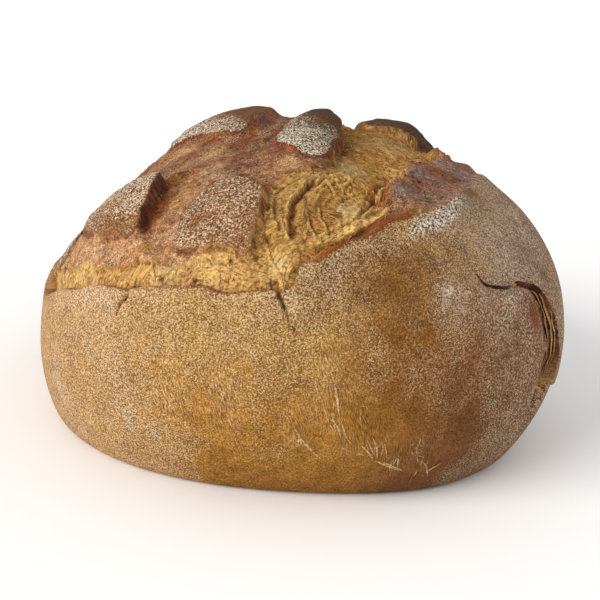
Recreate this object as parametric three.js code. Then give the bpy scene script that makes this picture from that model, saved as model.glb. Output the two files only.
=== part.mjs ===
// A round country loaf of rye bread, baked free-standing: a floured crust whose scored top has torn
// open, with raised floured tiles between the cuts, a folded seam on its right flank and short
// cracks below the tear. One solid, in millimetres, +Z up, front towards -Y.
//
// The loaf starts as a plain swollen boule. Every feature on it is relief, drawn on a chart: a flat
// map of the loaf with the crown at its middle, where u runs to the right, v to the back, and the
// distance from the middle is the angle down from the crown times CHART_SCALE.

import * as THREE from 'three';
import { mergeVertices } from 'three/addons/utils/BufferGeometryUtils.js';

// ---- Driving dimensions, mm ----

const CENTRE_HEIGHT = 55; // the point that the loaf is drawn round, over the table
const CROWN_RISE = 89; // from that point up to the crown of the plain boule
const BELLY_DROP = 101; // and down to its round belly, before it settles flat
const ROUNDNESS = 2.22; // 2 is an ellipse, more is squarer shoulders
const SETTLE = 4; // how softly the side turns into the flat underside
const PLAN_RADII = [131.5, 127, 128.5, 131.5, 126.5, 133, 125, 131.5]; // every 45 degrees from +X
const GIRTH_HEIGHTS = [57.5, 68, 42.5, 65]; // where it is widest, right, back, left, front
const CHART_SCALE = 110; // chart millimetres for each radian down from the crown

const TEAR_DEPTH = 7; // of the torn crumb under the crust
const STRIP_DEPTH = 4.6; // of the shallow torn strip along the front
const GROOVE_DEPTH = 8.2; // beside the raised edge at the front right
const SKIN_DEPTH = { band: 3.4, ledge: 2.2, right: 2.2, back: 3.2 }; // thin skin that grew in the tear
const STRIP_WIDTH = 11.5; // of the front strip, from the crust to the ledge
const LIP_RISE = { plain: 0.9, ear: 2.6 }; // the crust's edge stands up round the tear
const LIP_WIDTH = 5.5;
const EDGE_WIDTH = { plain: 3.5, ear: 7.5 }; // of the crust's broken edge, sloping into the tear
const EAR_WIDTH = 9; // over which the groove beside the ear fades

const TILE_ROUNDING = 3; // of a tile's corners
const TILE_EDGE_WALL = 3; // width of a tile's short sides
const TILE_CURL = 0.5; // how far a tile's edge curls up

const FLAP_RISE = 2.6; // the dough that lies over the seam
const FLAP_REACH = 18;
const SUNK_DEPTH = 4.8; // the dough that went under it
const SUNK_REACH = 20;
const SEAM_DEPTH = 3.4;
const SEAM_WIDTH = 3;
const SEAM_WALL = 3.5; // width of the step down from the flap

const CRACK_WIDTH = 3;
const MESH_PULL = 5; // points this near to an edge are drawn on to it

// ---- Features on the chart ----

const TEAR_EDGE = [
  [-148, -57], [-123, -88], [-97, -107], [-70, -122], [-45, -132], [-22, -136], [-4, -137],
  [1, -127], [18, -116], [34, -101], [51, -83], [68, -57], [80, -38], [92, -8], [96, 45],
  [76, 92], [30, 124], [-32, 134], [-92, 114], [-134, 72], [-154, 10],
];

const SKIN_BAND = [
  [-130, 0], [-100, 62], [-60, 84], [-10, 72], [20, 24], [22, -28], [14, -55], [-2, -68],
  [-16, -78], [-34, -88], [-60, -92], [-80, -84], [-118, -48],
];

const SKIN_RIGHT = [
  [50, -84], [58, -58], [66, -18], [70, 25], [84, 58], [112, 50], [116, -30], [90, -62], [66, -82],
];

const SKIN_BACK = [
  [-20, 96], [30, 92], [66, 76], [84, 96], [34, 132], [-40, 140], [-96, 118], [-60, 100],
];

// corners: four, clockwise from above. lift: height over the plain boule.
// lean: slope of the top towards the right and the back. dome: how much the middle swells, and
// how far from it the swelling is gone.
// wall: width of the right-hand side. step: height of the other sides over their foot, and
// foot: how far the foot runs out. scoop: hollow under the right-hand side.
const TILES = [
  { corners: [[-104, -14], [-69, -47], [-81, -88], [-114, -60]], lift: 2, lean: [0, 0],
    dome: [1, 22], wall: 3.4, step: 2, scoop: 3, foot: 12 },
  { corners: [[-54, -60], [-24, -82], [-28, -118], [-64, -106]], lift: 2.5, lean: [0, -0.02],
    dome: [1.5, 22], wall: 6, step: 1.8, scoop: 0.5, foot: 9 },
  { corners: [[-13, 44], [21, 34], [1, -58], [-26, -34]], lift: 1.5, lean: [0, 0.07],
    dome: [2.5, 40], wall: 4, step: 1.8, scoop: 2, foot: 14 },
  { corners: [[-68, 90], [-34, 60], [-52, 16], [-87, 46]], lift: 2.5, lean: [-0.03, 0.03],
    dome: [2, 22], wall: 16, step: 1.6, scoop: 0, foot: 12 },
  { corners: [[34, 78], [62, 80], [66, 34], [38, 36]], lift: 0.5, lean: [0, 0],
    dome: [3.5, 22], wall: 4, step: 2.4, scoop: 1, foot: 10 },
  { corners: [[-122, -27], [-138, -46], [-152, -8], [-128, 6]], lift: 1, lean: [0, 0],
    dome: [0.5, 22], wall: 3.4, step: 1.6, scoop: 2, foot: 9 },
  { corners: [[-98, 100], [-62, 116], [-86, 86], [-108, 66]], lift: 0, lean: [0, 0],
    dome: [1, 22], wall: 6, step: 1.8, scoop: 1, foot: 9 },
  { corners: [[-46, 124], [2, 120], [4, 92], [-42, 98]], lift: 0.5, lean: [0, 0],
    dome: [1.5, 22], wall: 4, step: 1.8, scoop: 1, foot: 9 },
];

// terraces where one layer of torn crumb ends over the next, higher on the left
const TERRACES = [
  { path: [[9, -66], [-2, -82], [-7, -96], [-7, -108], [-2, -116]], drop: 3.2 },
  { path: [[-15, -82], [-19, -96], [-21, -108], [-22, -116]], drop: 2.6 },
  { path: [[18, -58], [11, -74], [6, -90], [6, -104]], drop: 2.4 },
  { path: [[34, -46], [26, -62], [20, -80], [19, -94]], drop: 1.8 },
  { path: [[22, 6], [34, -4], [44, -22], [50, -44]], drop: -2 },
];
const TERRACE_REACH = 8;

const SEAM = [
  [70, -112], [78, -103], [87, -101], [92, -100], [102, -92], [113, -77], [127, -65],
  [139, -60], [153, -57], [167, -52], [184, -40],
];

const CRACKS = [
  { path: [[-14, -133], [-10, -138], [-8, -141], [-6, -143.5]], depth: 4 },
  { path: [[-6, -143], [-3, -146], [-1, -148], [2, -152]], depth: 3.5 },
  { path: [[-88, -111], [-90, -114], [-92, -120]], depth: 2.5 },
];

// broad swells and hollows of the whole boule: place, radius and height
const SWELLS = [
  { at: [-122, 22], radius: 38, height: -6.5 },
  { at: [0, 100], radius: 48, height: -6 },
  { at: [-58, 72], radius: 24, height: 2 },
  { at: [80, 30], radius: 16, height: 2.5 },
  { at: [178, -68], radius: 16, height: -4 },
  { at: [160, -110], radius: 40, height: -1.5 },
  { at: [60, 90], radius: 30, height: -3 },
];

// ---- Mesh ----

const SEGMENTS = { across: 34, deep: 34, high: 26 };
// angle down from the crown on the starting block, and on the loaf: closer rows where the relief is
const ROW_KNOTS = [[0, 0], [45, 42], [110, 90], [135, 130], [180, 180]];
const RELIEF_FADES = [120, 135]; // degrees from the crown, where relief gives way to the underside

// ---- Small sums ----

const lerp = (a, b, t) => a + (b - a) * t;

function smooth(low, high, x) {
  const t = Math.min(Math.max((x - low) / (high - low), 0), 1);
  return t * t * (3 - 2 * t);
}

const falloff = (distance, reach) => Math.exp(-Math.max(distance, 0) / reach);

// a smooth ring through evenly spaced values, the first at angle 0
function ring(values, angle) {
  const half = values.length / 2;
  let sum = 0;
  values.forEach((value, k) => {
    const x = angle - (2 * Math.PI * k) / values.length;
    let weight = 1 + Math.cos(half * x);
    for (let j = 1; j < half; j += 1) {
      weight += 2 * Math.cos(j * x);
    }
    sum += (value * weight) / values.length;
  });
  return sum;
}

function scatter(i, j) {
  const x = Math.sin(i * 127.1 + j * 311.7) * 43758.5453;
  return x - Math.floor(x);
}

// smooth noise from -1 to 1, the same on every run
function noise(x, y) {
  const i = Math.floor(x);
  const j = Math.floor(y);
  const sx = smooth(0, 1, x - i);
  const sy = smooth(0, 1, y - j);
  const near = lerp(scatter(i, j), scatter(i + 1, j), sx);
  const far = lerp(scatter(i, j + 1), scatter(i + 1, j + 1), sx);
  return 2 * lerp(near, far, sy) - 1;
}

// ---- Lines on the chart ----

function line(points, closed) {
  const at3 = points.map(([u, v]) => new THREE.Vector3(u, v, 0));
  const curve = new THREE.CatmullRomCurve3(at3, closed, 'catmullrom', 0.5);
  const steps = points.length * 5;
  const list = curve.getPoints(steps).map((p) => [p.x, p.y]);
  return closed ? list.slice(0, steps) : list;
}

// distance to a line, the side of it (1 is left), the nearest point, and how far along it that is
function nearest(u, v, points, closed) {
  const found = { distance: Infinity, side: 1, point: points[0], along: 0, length: 0 };
  const last = closed ? points.length : points.length - 1;
  for (let k = 0; k < last; k += 1) {
    const [au, av] = points[k];
    const [bu, bv] = points[(k + 1) % points.length];
    const du = bu - au;
    const dv = bv - av;
    const run = Math.hypot(du, dv);
    const t = Math.min(Math.max(((u - au) * du + (v - av) * dv) / (run * run), 0), 1);
    const eu = u - au - t * du;
    const ev = v - av - t * dv;
    const distance = Math.hypot(eu, ev);
    if (distance < found.distance) {
      found.distance = distance;
      found.side = du * ev - dv * eu > 0 ? 1 : -1;
      found.point = [au + t * du, av + t * dv];
      found.along = found.length + t * run;
    }
    found.length += run;
  }
  return found;
}

function isInside(u, v, points) {
  let inside = false;
  points.forEach(([au, av], k) => {
    const [bu, bv] = points[(k + 1) % points.length];
    if (av > v !== bv > v && u < ((bu - au) * (v - av)) / (bv - av) + au) {
      inside = !inside;
    }
  });
  return inside;
}

// distance into a closed outline, negative outside it
function depthIn(u, v, outline) {
  const { distance } = nearest(u, v, outline, true);
  return isInside(u, v, outline) ? distance : -distance;
}

// distance into a tile with rounded corners, and the direction that leads in
function depthInTile(u, v, corners) {
  let sum = 0;
  let inU = 0;
  let inV = 0;
  corners.forEach(([au, av], k) => {
    const [bu, bv] = corners[(k + 1) % corners.length];
    const run = Math.hypot(bu - au, bv - av);
    const nu = (bv - av) / run; // the corners go round clockwise, so this points in
    const nv = -(bu - au) / run;
    const depth = (u - au) * nu + (v - av) * nv;
    const weight = Math.exp(-Math.min(Math.max(depth / TILE_ROUNDING, -60), 60));
    sum += weight;
    inU += weight * nu;
    inV += weight * nv;
  });
  return { depth: -TILE_ROUNDING * Math.log(sum), inward: [inU / sum, inV / sum] };
}

// torn edges wander: the chart is shifted a little before any outline is read
function wander(u, v) {
  return [
    u + 2.6 * noise(u / 17 + 3.1, v / 17 + 7.7) + 0.8 * noise(u / 7 + 1.3, v / 7 + 2.9),
    v + 2.6 * noise(u / 17 + 11.4, v / 17 + 5.2) + 0.8 * noise(u / 7 + 8.1, v / 7 + 4.4),
  ];
}

function seamWander(u, v) {
  return [
    u + 1.2 * noise(u / 9 + 3.1, v / 9 + 7.7),
    v + 1.2 * noise(u / 9 + 1.4, v / 9 + 5.2),
  ];
}

const tearEdge = line(TEAR_EDGE, true);
const skinBand = line(SKIN_BAND, true);
const skinRight = line(SKIN_RIGHT, true);
const skinBack = line(SKIN_BACK, true);
const terraces = TERRACES.map((terrace) => ({ ...terrace, path: line(terrace.path, false) }));
const seam = line(SEAM, false);
const cracks = CRACKS.map((crack) => ({ ...crack, path: line(crack.path, false) }));

// ---- Relief ----

// how far a point this far from an edge moves towards it, so that edges come out crisp
function pull(distance) {
  const share = Math.abs(distance) / MESH_PULL;
  return share < 1 ? Math.sign(distance) * MESH_PULL * share * share - distance : 0;
}

function pulledToLine(u, v, wu, wv, points, closed) {
  const edge = nearest(wu, wv, points, closed);
  const move = pull(edge.distance) / (edge.distance + 1e-6);
  return [u + (wu - edge.point[0]) * move, v + (wv - edge.point[1]) * move];
}

function pulledToEdges(u, v) {
  let [pu, pv] = pulledToLine(u, v, ...wander(u, v), tearEdge, true);
  [pu, pv] = pulledToLine(pu, pv, ...seamWander(pu, pv), seam, false);
  TILES.forEach(({ corners }) => {
    const [wu, wv] = wander(pu, pv);
    const { depth, inward } = depthInTile(wu, wv, corners);
    pu += inward[0] * pull(depth);
    pv += inward[1] * pull(depth);
  });
  return [pu, pv];
}

// height of the floor of the tear, below the plain boule
function tearFloor(u, v, wu, wv, inTear, zone) {
  const ripple = 2.2 * noise(u / 8 + 5.5, v / 8 + 1.1);
  const skinIn = (outline) => smooth(-1.5, 2.5, depthIn(wu, wv, outline) + ripple);
  const ledge = zone.front * smooth(-1.5, 1.5, inTear - STRIP_WIDTH + 1.5 * ripple);
  const band = skinIn(skinBand);
  const right = skinIn(skinRight);
  const back = skinIn(skinBack);
  let depth = lerp(TEAR_DEPTH, STRIP_DEPTH, zone.front);
  depth = lerp(depth, GROOVE_DEPTH, zone.ear * falloff(inTear, EAR_WIDTH));
  depth = lerp(depth, SKIN_DEPTH.band, band);
  depth = lerp(depth, SKIN_DEPTH.back, back);
  depth = lerp(depth, SKIN_DEPTH.right, right);
  depth = lerp(depth, SKIN_DEPTH.ledge, ledge);
  const skin = Math.max(ledge, band, right, back);
  const lumps = noise(u / 15 + 0.4, v / 15 + 9.3) * smooth(0, 12, inTear);
  let height = lerp(1.6, 0.7, skin) * lumps - depth;
  terraces.forEach(({ path, drop }) => {
    const edge = nearest(wu, wv, path, false);
    const s = edge.distance * edge.side * -1;
    const ends = smooth(0, 10, edge.along) * smooth(edge.length, edge.length - 10, edge.along);
    const low = -0.6 * falloff(-s, TERRACE_REACH);
    const high = 0.4 * falloff(s, TERRACE_REACH);
    height += drop * ends * lerp(low, high, smooth(-1.3, 0.3, s));
  });
  return height;
}

function tileShape(tile, u, v, wu, wv) {
  const { depth, inward } = depthInTile(wu, wv, tile.corners);
  const middle = [0, 1].map((axis) => tile.corners.reduce((sum, c) => sum + c[axis], 0) / 4);
  const du = wu - middle[0];
  const dv = wv - middle[1];
  const right = smooth(0.5, 0.95, -(inward[0] * 0.97 + inward[1] * 0.26));
  const wall = lerp(TILE_EDGE_WALL, tile.wall, right);
  const curl = TILE_CURL * Math.exp(-(((depth - 1.5) / 2.2) ** 2));
  const dome = tile.dome[0] * (1 - (du * du + dv * dv) / tile.dome[1] ** 2);
  const slope = tile.lean[0] * du + tile.lean[1] * dv;
  const top = tile.lift + slope + dome + curl - 0.6 * noise(u / 9, v / 9 + 4.4);
  return { depth, right, wall, top };
}

// the tear, with its tiles: height over the plain boule
function topRelief(u, v) {
  const [wu, wv] = wander(u, v);
  const inTear = depthIn(wu, wv, tearEdge);
  const zone = {
    ear: smooth(-6, 18, wu) * smooth(40, -10, wv),
    front: smooth(12, -16, wu) * smooth(0, -50, wv),
    faded: smooth(48, 70, wu) * smooth(-75, -45, wv),
  };
  const edgeWidth = lerp(EDGE_WIDTH.plain, EDGE_WIDTH.ear, Math.max(zone.ear * 0.6, zone.faded));
  const rise = lerp(LIP_RISE.plain, LIP_RISE.ear, zone.ear * (1 - zone.faded));
  const lip = rise * Math.exp(-((Math.min(inTear, 0) / LIP_WIDTH) ** 2));
  const floor = tearFloor(u, v, wu, wv, inTear, zone);
  let height = lerp(lip, floor, smooth(0, edgeWidth, inTear));
  TILES.forEach((tile) => {
    const shape = tileShape(tile, u, v, wu, wv);
    const outside = Math.max(-shape.depth, 0);
    const foot = (1 - shape.right) * falloff(outside, tile.foot) * smooth(-1, 1, inTear);
    height = lerp(height, Math.max(shape.top - tile.step, height), foot);
    const hollow = falloff(outside - shape.wall * 0.6, 9) * smooth(0, -3, shape.depth);
    height -= tile.scoop * shape.right * hollow;
    const onTile = smooth(-shape.wall, 0, shape.depth);
    height = lerp(height, Math.max(shape.top, height), onTile);
  });
  return height;
}

function crackRelief(u, v) {
  return cracks.reduce((sum, { path, depth }) => {
    const { distance } = nearest(u, v, path, false);
    return sum - depth * Math.exp(-((distance / CRACK_WIDTH) ** 2));
  }, 0);
}

function swellRelief(u, v) {
  return SWELLS.reduce((sum, { at, radius, height }) => {
    const away = ((u - at[0]) ** 2 + (v - at[1]) ** 2) / radius ** 2;
    return sum + height * Math.exp(-away);
  }, 0);
}

// the seam on the right flank: dough folded over on its left side, sunk on its right side
function seamRelief(u, v) {
  const edge = nearest(...seamWander(u, v), seam, false);
  const s = edge.distance * edge.side;
  const { along, length } = edge;
  const strength = smooth(2, 60, along) * smooth(length - 1, length - 30, along);
  const near = strength * smooth(60, 10, edge.distance);
  const flap = FLAP_RISE * falloff(s, FLAP_REACH) * near;
  const sunk = -SUNK_DEPTH * falloff(-s, SUNK_REACH) * near;
  const ends = smooth(0, 14, along) * smooth(length, length - 20, along);
  const groove = SEAM_DEPTH * Math.exp(-(((s + SEAM_WALL) / SEAM_WIDTH) ** 2)) * ends;
  return lerp(sunk, flap, smooth(-SEAM_WALL, 0, s)) - groove;
}

// ---- The loaf ----

function boulePoint(u, v) {
  const polar = Math.min(Math.hypot(u, v) / CHART_SCALE, Math.PI - 1e-4);
  const compass = Math.atan2(v, u);
  const radius = ring(PLAN_RADII, compass);
  const girth = ring(GIRTH_HEIGHTS, compass);
  const out = Math.sin(polar);
  const up = Math.cos(polar);
  const half = up > 0 ? CROWN_RISE : BELLY_DROP;
  const sum = (out / radius) ** ROUNDNESS + (Math.abs(up) / half) ** ROUNDNESS;
  const reach = sum ** (-1 / ROUNDNESS);
  const flat = reach * out;
  const height = CENTRE_HEIGHT + (girth - CENTRE_HEIGHT) * out + reach * up;
  return new THREE.Vector3(flat * Math.cos(compass), flat * Math.sin(compass), height);
}

function bouleNormal(u, v) {
  const e = 0.5;
  const right = boulePoint(u + e, v).sub(boulePoint(u - e, v));
  const back = boulePoint(u, v + e).sub(boulePoint(u, v - e));
  return right.cross(back).normalize();
}

// the dough settles on the baking stone: what would hang below goes flat
function settled(z) {
  if (z > SETTLE) {
    return z;
  }
  return z < -SETTLE ? 0 : (z + SETTLE) ** 2 / (4 * SETTLE);
}

function rowAngle(degrees) {
  const k = ROW_KNOTS.findIndex(([from]) => from >= degrees);
  const [low, lowOut] = ROW_KNOTS[Math.max(k - 1, 0)];
  const [high, highOut] = ROW_KNOTS[Math.max(k, 1)];
  return lerp(lowOut, highOut, (degrees - low) / (high - low));
}

function loafPoint(direction) {
  const degrees = rowAngle(THREE.MathUtils.radToDeg(Math.acos(direction.z)));
  const reach = CHART_SCALE * THREE.MathUtils.degToRad(degrees);
  const compass = Math.atan2(direction.y, direction.x);
  const [u, v] = pulledToEdges(reach * Math.cos(compass), reach * Math.sin(compass));
  const relief = topRelief(u, v) + crackRelief(u, v) + swellRelief(u, v) + seamRelief(u, v);
  const fade = smooth(RELIEF_FADES[1], RELIEF_FADES[0], degrees);
  const point = boulePoint(u, v).addScaledVector(bouleNormal(u, v), relief * fade);
  point.z = settled(point.z);
  return point;
}

function loafGeometry() {
  const { across, deep, high } = SEGMENTS;
  const block = new THREE.BoxGeometry(2, 2, 2, across, deep, high);
  block.deleteAttribute('normal');
  block.deleteAttribute('uv');
  const loaf = mergeVertices(block, 1e-5);
  const place = loaf.getAttribute('position');
  const quarter = Math.PI / 4;
  for (let k = 0; k < place.count; k += 1) {
    const spread = [place.getX(k), place.getY(k), place.getZ(k)].map((x) => Math.tan(x * quarter));
    const point = loafPoint(new THREE.Vector3(...spread).normalize());
    place.setXYZ(k, point.x, point.y, point.z);
  }
  loaf.computeBoundingBox();
  const middle = loaf.boundingBox.getCenter(new THREE.Vector3());
  loaf.translate(-middle.x, -middle.y, -loaf.boundingBox.min.z);
  loaf.computeVertexNormals();
  return loaf;
}

const crust = new THREE.MeshStandardMaterial({ color: 0xb48d58, roughness: 0.9, metalness: 0 });

const loaf = new THREE.Mesh(loafGeometry(), crust);
loaf.name = 'loaf';

const bread = new THREE.Group();
bread.add(loaf);

export default bread;
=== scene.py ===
import math
from functools import partial

import bpy
import numpy as np
from mathutils import Matrix, Vector


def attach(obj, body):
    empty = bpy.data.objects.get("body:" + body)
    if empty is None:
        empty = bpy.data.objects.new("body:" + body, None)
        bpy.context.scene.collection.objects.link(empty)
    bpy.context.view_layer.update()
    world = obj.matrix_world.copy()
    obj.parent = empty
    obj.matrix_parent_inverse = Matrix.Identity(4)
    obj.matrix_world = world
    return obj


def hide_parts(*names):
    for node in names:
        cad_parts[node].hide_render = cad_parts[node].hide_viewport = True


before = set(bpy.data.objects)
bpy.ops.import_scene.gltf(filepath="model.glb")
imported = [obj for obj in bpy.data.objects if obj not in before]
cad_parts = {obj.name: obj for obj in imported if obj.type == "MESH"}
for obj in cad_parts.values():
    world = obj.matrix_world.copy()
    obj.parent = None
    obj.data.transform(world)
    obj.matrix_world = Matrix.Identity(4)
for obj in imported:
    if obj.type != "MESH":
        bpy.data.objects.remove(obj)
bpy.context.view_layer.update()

# A round country loaf of rye bread, baked free-standing. The crust is floured, the scored top has
# torn open over golden crumb, and floured tiles of crust stand up between the cuts.
#
# The form is drawn on a chart, a flat map of the loaf with the crown at its middle: u runs to the
# right, v to the back, and the distance from the middle is the angle down from the crown times
# CHART_SCALE. Sizes are in millimetres until a mesh is filled in, which is in metres.

MM = 0.001

# ---- The plain boule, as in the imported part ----

CENTRE_HEIGHT = 55
CROWN_RISE = 89
BELLY_DROP = 101
ROUNDNESS = 2.22
SETTLE = 4
PLAN_RADII = (131.5, 127, 128.5, 131.5, 126.5, 133, 125, 131.5)
GIRTH_HEIGHTS = (57.5, 68, 42.5, 65)
CHART_SCALE = 110

# ---- The torn top ----

TEAR_DEPTH = 7
STRIP_DEPTH = 4.6
GROOVE_DEPTH = 8.2
SKIN_DEPTH = {"band": 3.4, "ledge": 2.2, "right": 2.2, "back": 3.2}
STRIP_WIDTH = 11.5
LIP_RISE = {"plain": 0.9, "ear": 2.6}
LIP_WIDTH = 5.5
EAR_BAND = 4.2  # torn edge that shows as a red-brown band along the top of the ear
EAR_WIDTH = 9
LAP, FOLD_LAP = 3, 8  # the crust lies this far under the torn top and under the folded seam
DIP = 0.5  # where a finer piece is let into the crust, each dips this far under the other

TEAR_EDGE = [
    (-147, -55), (-121, -85), (-95, -106), (-70, -123), (-45, -132), (-22, -136), (-4, -137),
    (1, -127), (18, -118), (35, -105), (54, -87), (71, -61), (82, -40), (92, -8), (96, 45),
    (76, 92), (30, 124), (-32, 134), (-92, 114), (-134, 72), (-154, 10),
]
SKIN_BAND = [
    (-142, 0), (-126, 66), (-60, 84), (-10, 72), (12, 34), (13, -26), (7, -47), (-2, -56), (-12, -63),
    (-20, -74), (-22, -88), (-25, -101), (-34, -108), (-58, -112), (-80, -96), (-118, -52),
]
SKIN_RIGHT = [
    (40, -84), (42, -62), (46, -42), (56, -14), (70, 24), (84, 58), (112, 50), (116, -30), (92, -62),
    (66, -86),
]
SKIN_BACK = [
    (-20, 96), (30, 92), (66, 76), (84, 96), (34, 132), (-40, 140), (-96, 118), (-60, 100),
]
SKIN_SOFTNESS = (1, 4, 1)  # how gradually the band, the right-hand skin and the back turn to crumb

# Tiles of crust: corners from the back left round by the back right, lift of the edges, dome as
# height, reach across and reach along, wall and scoop at the right-hand side, step and foot on the
# others, flour on top and how it grows over SIFT_REACH to the right and back, and how burnt the
# right-hand side is.
TILES = [
    dict(corners=[(-117, -8), (-79, -37), (-86, -84), (-113, -63)], lift=0.6, lean=(0.03, 0),
         dome=(3.0, 22, 34), wall=2.2, scoop=3.8, step=1.7, foot=12, flour=0.33, sift=(0.1, 0.2),
         tone=0.8, burn=1.0),
    dict(corners=[(-54, -60), (-22, -88), (-28, -120), (-64, -110)], lift=0.2, lean=(0.02, -0.01),
         dome=(3.8, 21, 38), wall=5, scoop=0.5, step=1.5, foot=9, flour=0.16, sift=(-0.02, 0.04),
         tone=0.8, burn=0.5),
    dict(corners=[(-18, 46), (5, 50), (16, 8), (0, -50), (-23, -32)], lift=-1.4, lean=(-0.03, 0.02),
         dome=(5.0, 20, 75), wall=4, scoop=2, step=1.2, foot=14, flour=0.26, sift=(-0.25, -0.15),
         tone=0.2, burn=0.5),
    dict(corners=[(-66, 92), (-29, 64), (-46, 20), (-87, 46)], lift=0.6, lean=(0.05, 0.02),
         dome=(2.5, 30, 34), wall=10, scoop=0, step=1.0, foot=12, flour=0.12, sift=(-0.4, -0.2),
         tone=0.5, burn=0.3),
    dict(corners=[(24, 90), (68, 88), (72, 37), (30, 44)], lift=-4, lean=(0, 0), dome=(8.0, 24, 32),
         wall=3, scoop=0, step=1.5, foot=4, flour=0, sift=(0, 0), tone=0.15, burn=0.9),
    dict(corners=[(-140, 6), (-116, -18), (-136, -50), (-152, -30)], lift=-2.6, lean=(0, 0),
         dome=(1.0, 22, 30), wall=2.0, scoop=2, step=1.2, foot=9, flour=0.3, sift=(0, 0), tone=0.3,
         burn=1.0),
    dict(corners=[(-94, 108), (-60, 122), (-68, 98), (-92, 86)], lift=-0.5, lean=(0, 0),
         dome=(2.0, 22, 30), wall=6, scoop=1, step=1.8, foot=9, flour=0.3, sift=(0, 0), tone=0.6,
         burn=0.5),
    dict(corners=[(-46, 124), (2, 120), (4, 92), (-42, 98)], lift=-0.5, lean=(0, 0),
         dome=(2.5, 28, 22), wall=4, scoop=1, step=1.8, foot=9, flour=0.3, sift=(0, 0), tone=0.6,
         burn=0.5),
]
SIFT_REACH = 20
SCOOP_REACH = 9
TILE_ROUNDING = 3
TILE_EDGE_WALL = 1.6
TILE_OVERHANG = 1.3
TILE_CURL = 0.4

TERRACES = [
    dict(path=[(18, -54), (9, -70), (3, -85), (1, -100)], drop=1.6),
    dict(path=[(30, -42), (22, -58), (15, -75), (13, -90)], drop=1.6),
    dict(path=[(36, -60), (29, -72), (26, -84), (26, -94)], drop=1.4),
    dict(path=[(18, 10), (30, 0), (40, -18), (46, -40)], drop=-2.2),
    dict(path=[(30, 20), (42, 8), (50, -6)], drop=-1.6),
]
TERRACE_REACH = 8
# Thin torn sheets of crumb that stand up, each with a hollow to the left of its path: rise and width
# of its edge, depth and reach of the hollow.
SHEETS = [
    dict(path=[(0, -66), (-6, -76), (-9, -82), (-11, -88), (-11.5, -97), (-11, -104), (-9, -112)],
         edge=(1.5, 0.8), hollow=(3.4, 3.8)),
    dict(path=[(-27, -114), (-26, -109), (-24, -104), (-22, -98), (-19, -91)], edge=(1.2, 0.7),
         hollow=(2.6, 2.6)),
    dict(path=[(-20, -82), (-20.5, -91), (-19, -98), (-15, -108)], edge=(1.0, 0.7), hollow=(1.8, 2.2)),
    dict(path=[(-15, -92), (-14, -101), (-12, -109)], edge=(0.8, 0.6), hollow=(1.0, 1.3)),
    dict(path=[(-1, -93), (0, -100), (3, -107), (6, -112)], edge=(0.9, 0.6), hollow=(1.5, 1.8)),
    dict(path=[(5, -86), (6, -96), (10, -103), (13, -109)], edge=(0.9, 0.6), hollow=(1.3, 1.8)),
    dict(path=[(18, -76), (14, -65), (8, -60), (3, -66), (1, -74)], edge=(1.0, 0.7), hollow=(1.4, 1.4)),
    dict(path=[(13, -80), (11, -71), (6, -68), (4, -77)], edge=(1.0, 0.7), hollow=(1.8, 1.4)),
    dict(path=[(24, -72), (22, -63), (15, -56), (9, -55)], edge=(0.8, 0.7), hollow=(1.2, 1.6)),
    dict(path=[(3, -50), (1, -54), (-5, -51), (-14, -49), (-22, -44), (-31, -38)], edge=(0.6, 0.8),
         hollow=(1.6, 1.4)),
    dict(path=[(-6, -66), (-12, -71), (-17, -75), (-20.5, -84)], edge=(0.5, 0.6), hollow=(1.8, 1.7)),
    dict(path=[(27, -95), (34, -80), (39, -62), (47, -50), (57, -30)], edge=(0.8, 0.8),
         hollow=(1.8, 2.4)),
    dict(path=[(46, -74), (36, -82), (26, -92), (15, -102), (4, -110)], edge=(0.9, 1.0),
         hollow=(0.8, 1.6)),
    dict(path=[(-64, -33), (-71, -30), (-78, -32), (-84, -35)], edge=(1.6, 1.3), hollow=(2.2, 2.6)),
]
PORES = [  # u, v, radius and depth of single deep holes
    (40, -45, 3.6, 2.8), (35, -74, 3.2, 2.6), (42, -76, 2.4, 1.8), (63, 39, 2.8, 2.6),
    (36, 33, 2.2, 2.2), (30, 5, 1.9, 1.6), (-71, -116.5, 1.2, 2.2), (-54, -124, 1.6, 1.8),
    (58, -47, 2.0, 1.6), (70, -58, 1.8, 1.8), (-97, -101, 1.3, 1.4), (-67.8, -66.4, 1.7, 3.5),
    (15, 2, 3.2, 3.5), (16, -92, 3.0, 2.0), (62, 16, 3.0, 2.5), (-87, -112.5, 2.4, 2.5),
    (-126, -64, 2.0, 2.0), (74, -52, 1.6, 2.5), (-20, -112, 2.0, 2.0), (-51, 5, 2.4, 2.0),
    (-52, -127, 1.8, 1.4), (-36, -121, 1.6, 1.2), (-24, -120, 1.5, 1.4), (-68, -72, 2.0, 1.5),
    (-60, -60, 1.6, 1.2),
]
ARC_MIDDLE = (40, -95)  # the fibres of the open crumb curve round here
RIB_SPACING = 4.4

# ---- Seam, cracks and swells ----

SEAM = [
    (81, -90), (87, -96.5), (93, -97), (100, -92), (106, -85), (112, -77), (120, -70),
    (130, -65), (142, -63.5), (154, -62), (166, -60), (182, -52),
]
FLAP_RISE, FLAP_REACH = 2.0, 18
SUNK_DEPTH, SUNK_REACH = 3.6, 20
SEAM_DEPTH = 4.2
SEAM_WIDTHS = ((0, 0.04, 0.08, 0.16, 0.23, 0.29, 0.35, 0.44, 0.52, 0.60, 0.70, 0.80, 0.90, 0.97, 1),
               (0, 0, 0.5, 0.6, 0.7, 0.2, 0.8, 1.1, 1.5, 2.6, 3.6, 3.2, 2.0, 0.9, 0.2))
FOLD_SPINE = [(78, -96), (96, -93), (112, -78), (130, -68), (152, -63), (176, -55)]
FOLD_HALF = 20  # the finer piece with the seam reaches this far either side of its spine
FOLD_MARGIN = 6.5

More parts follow.
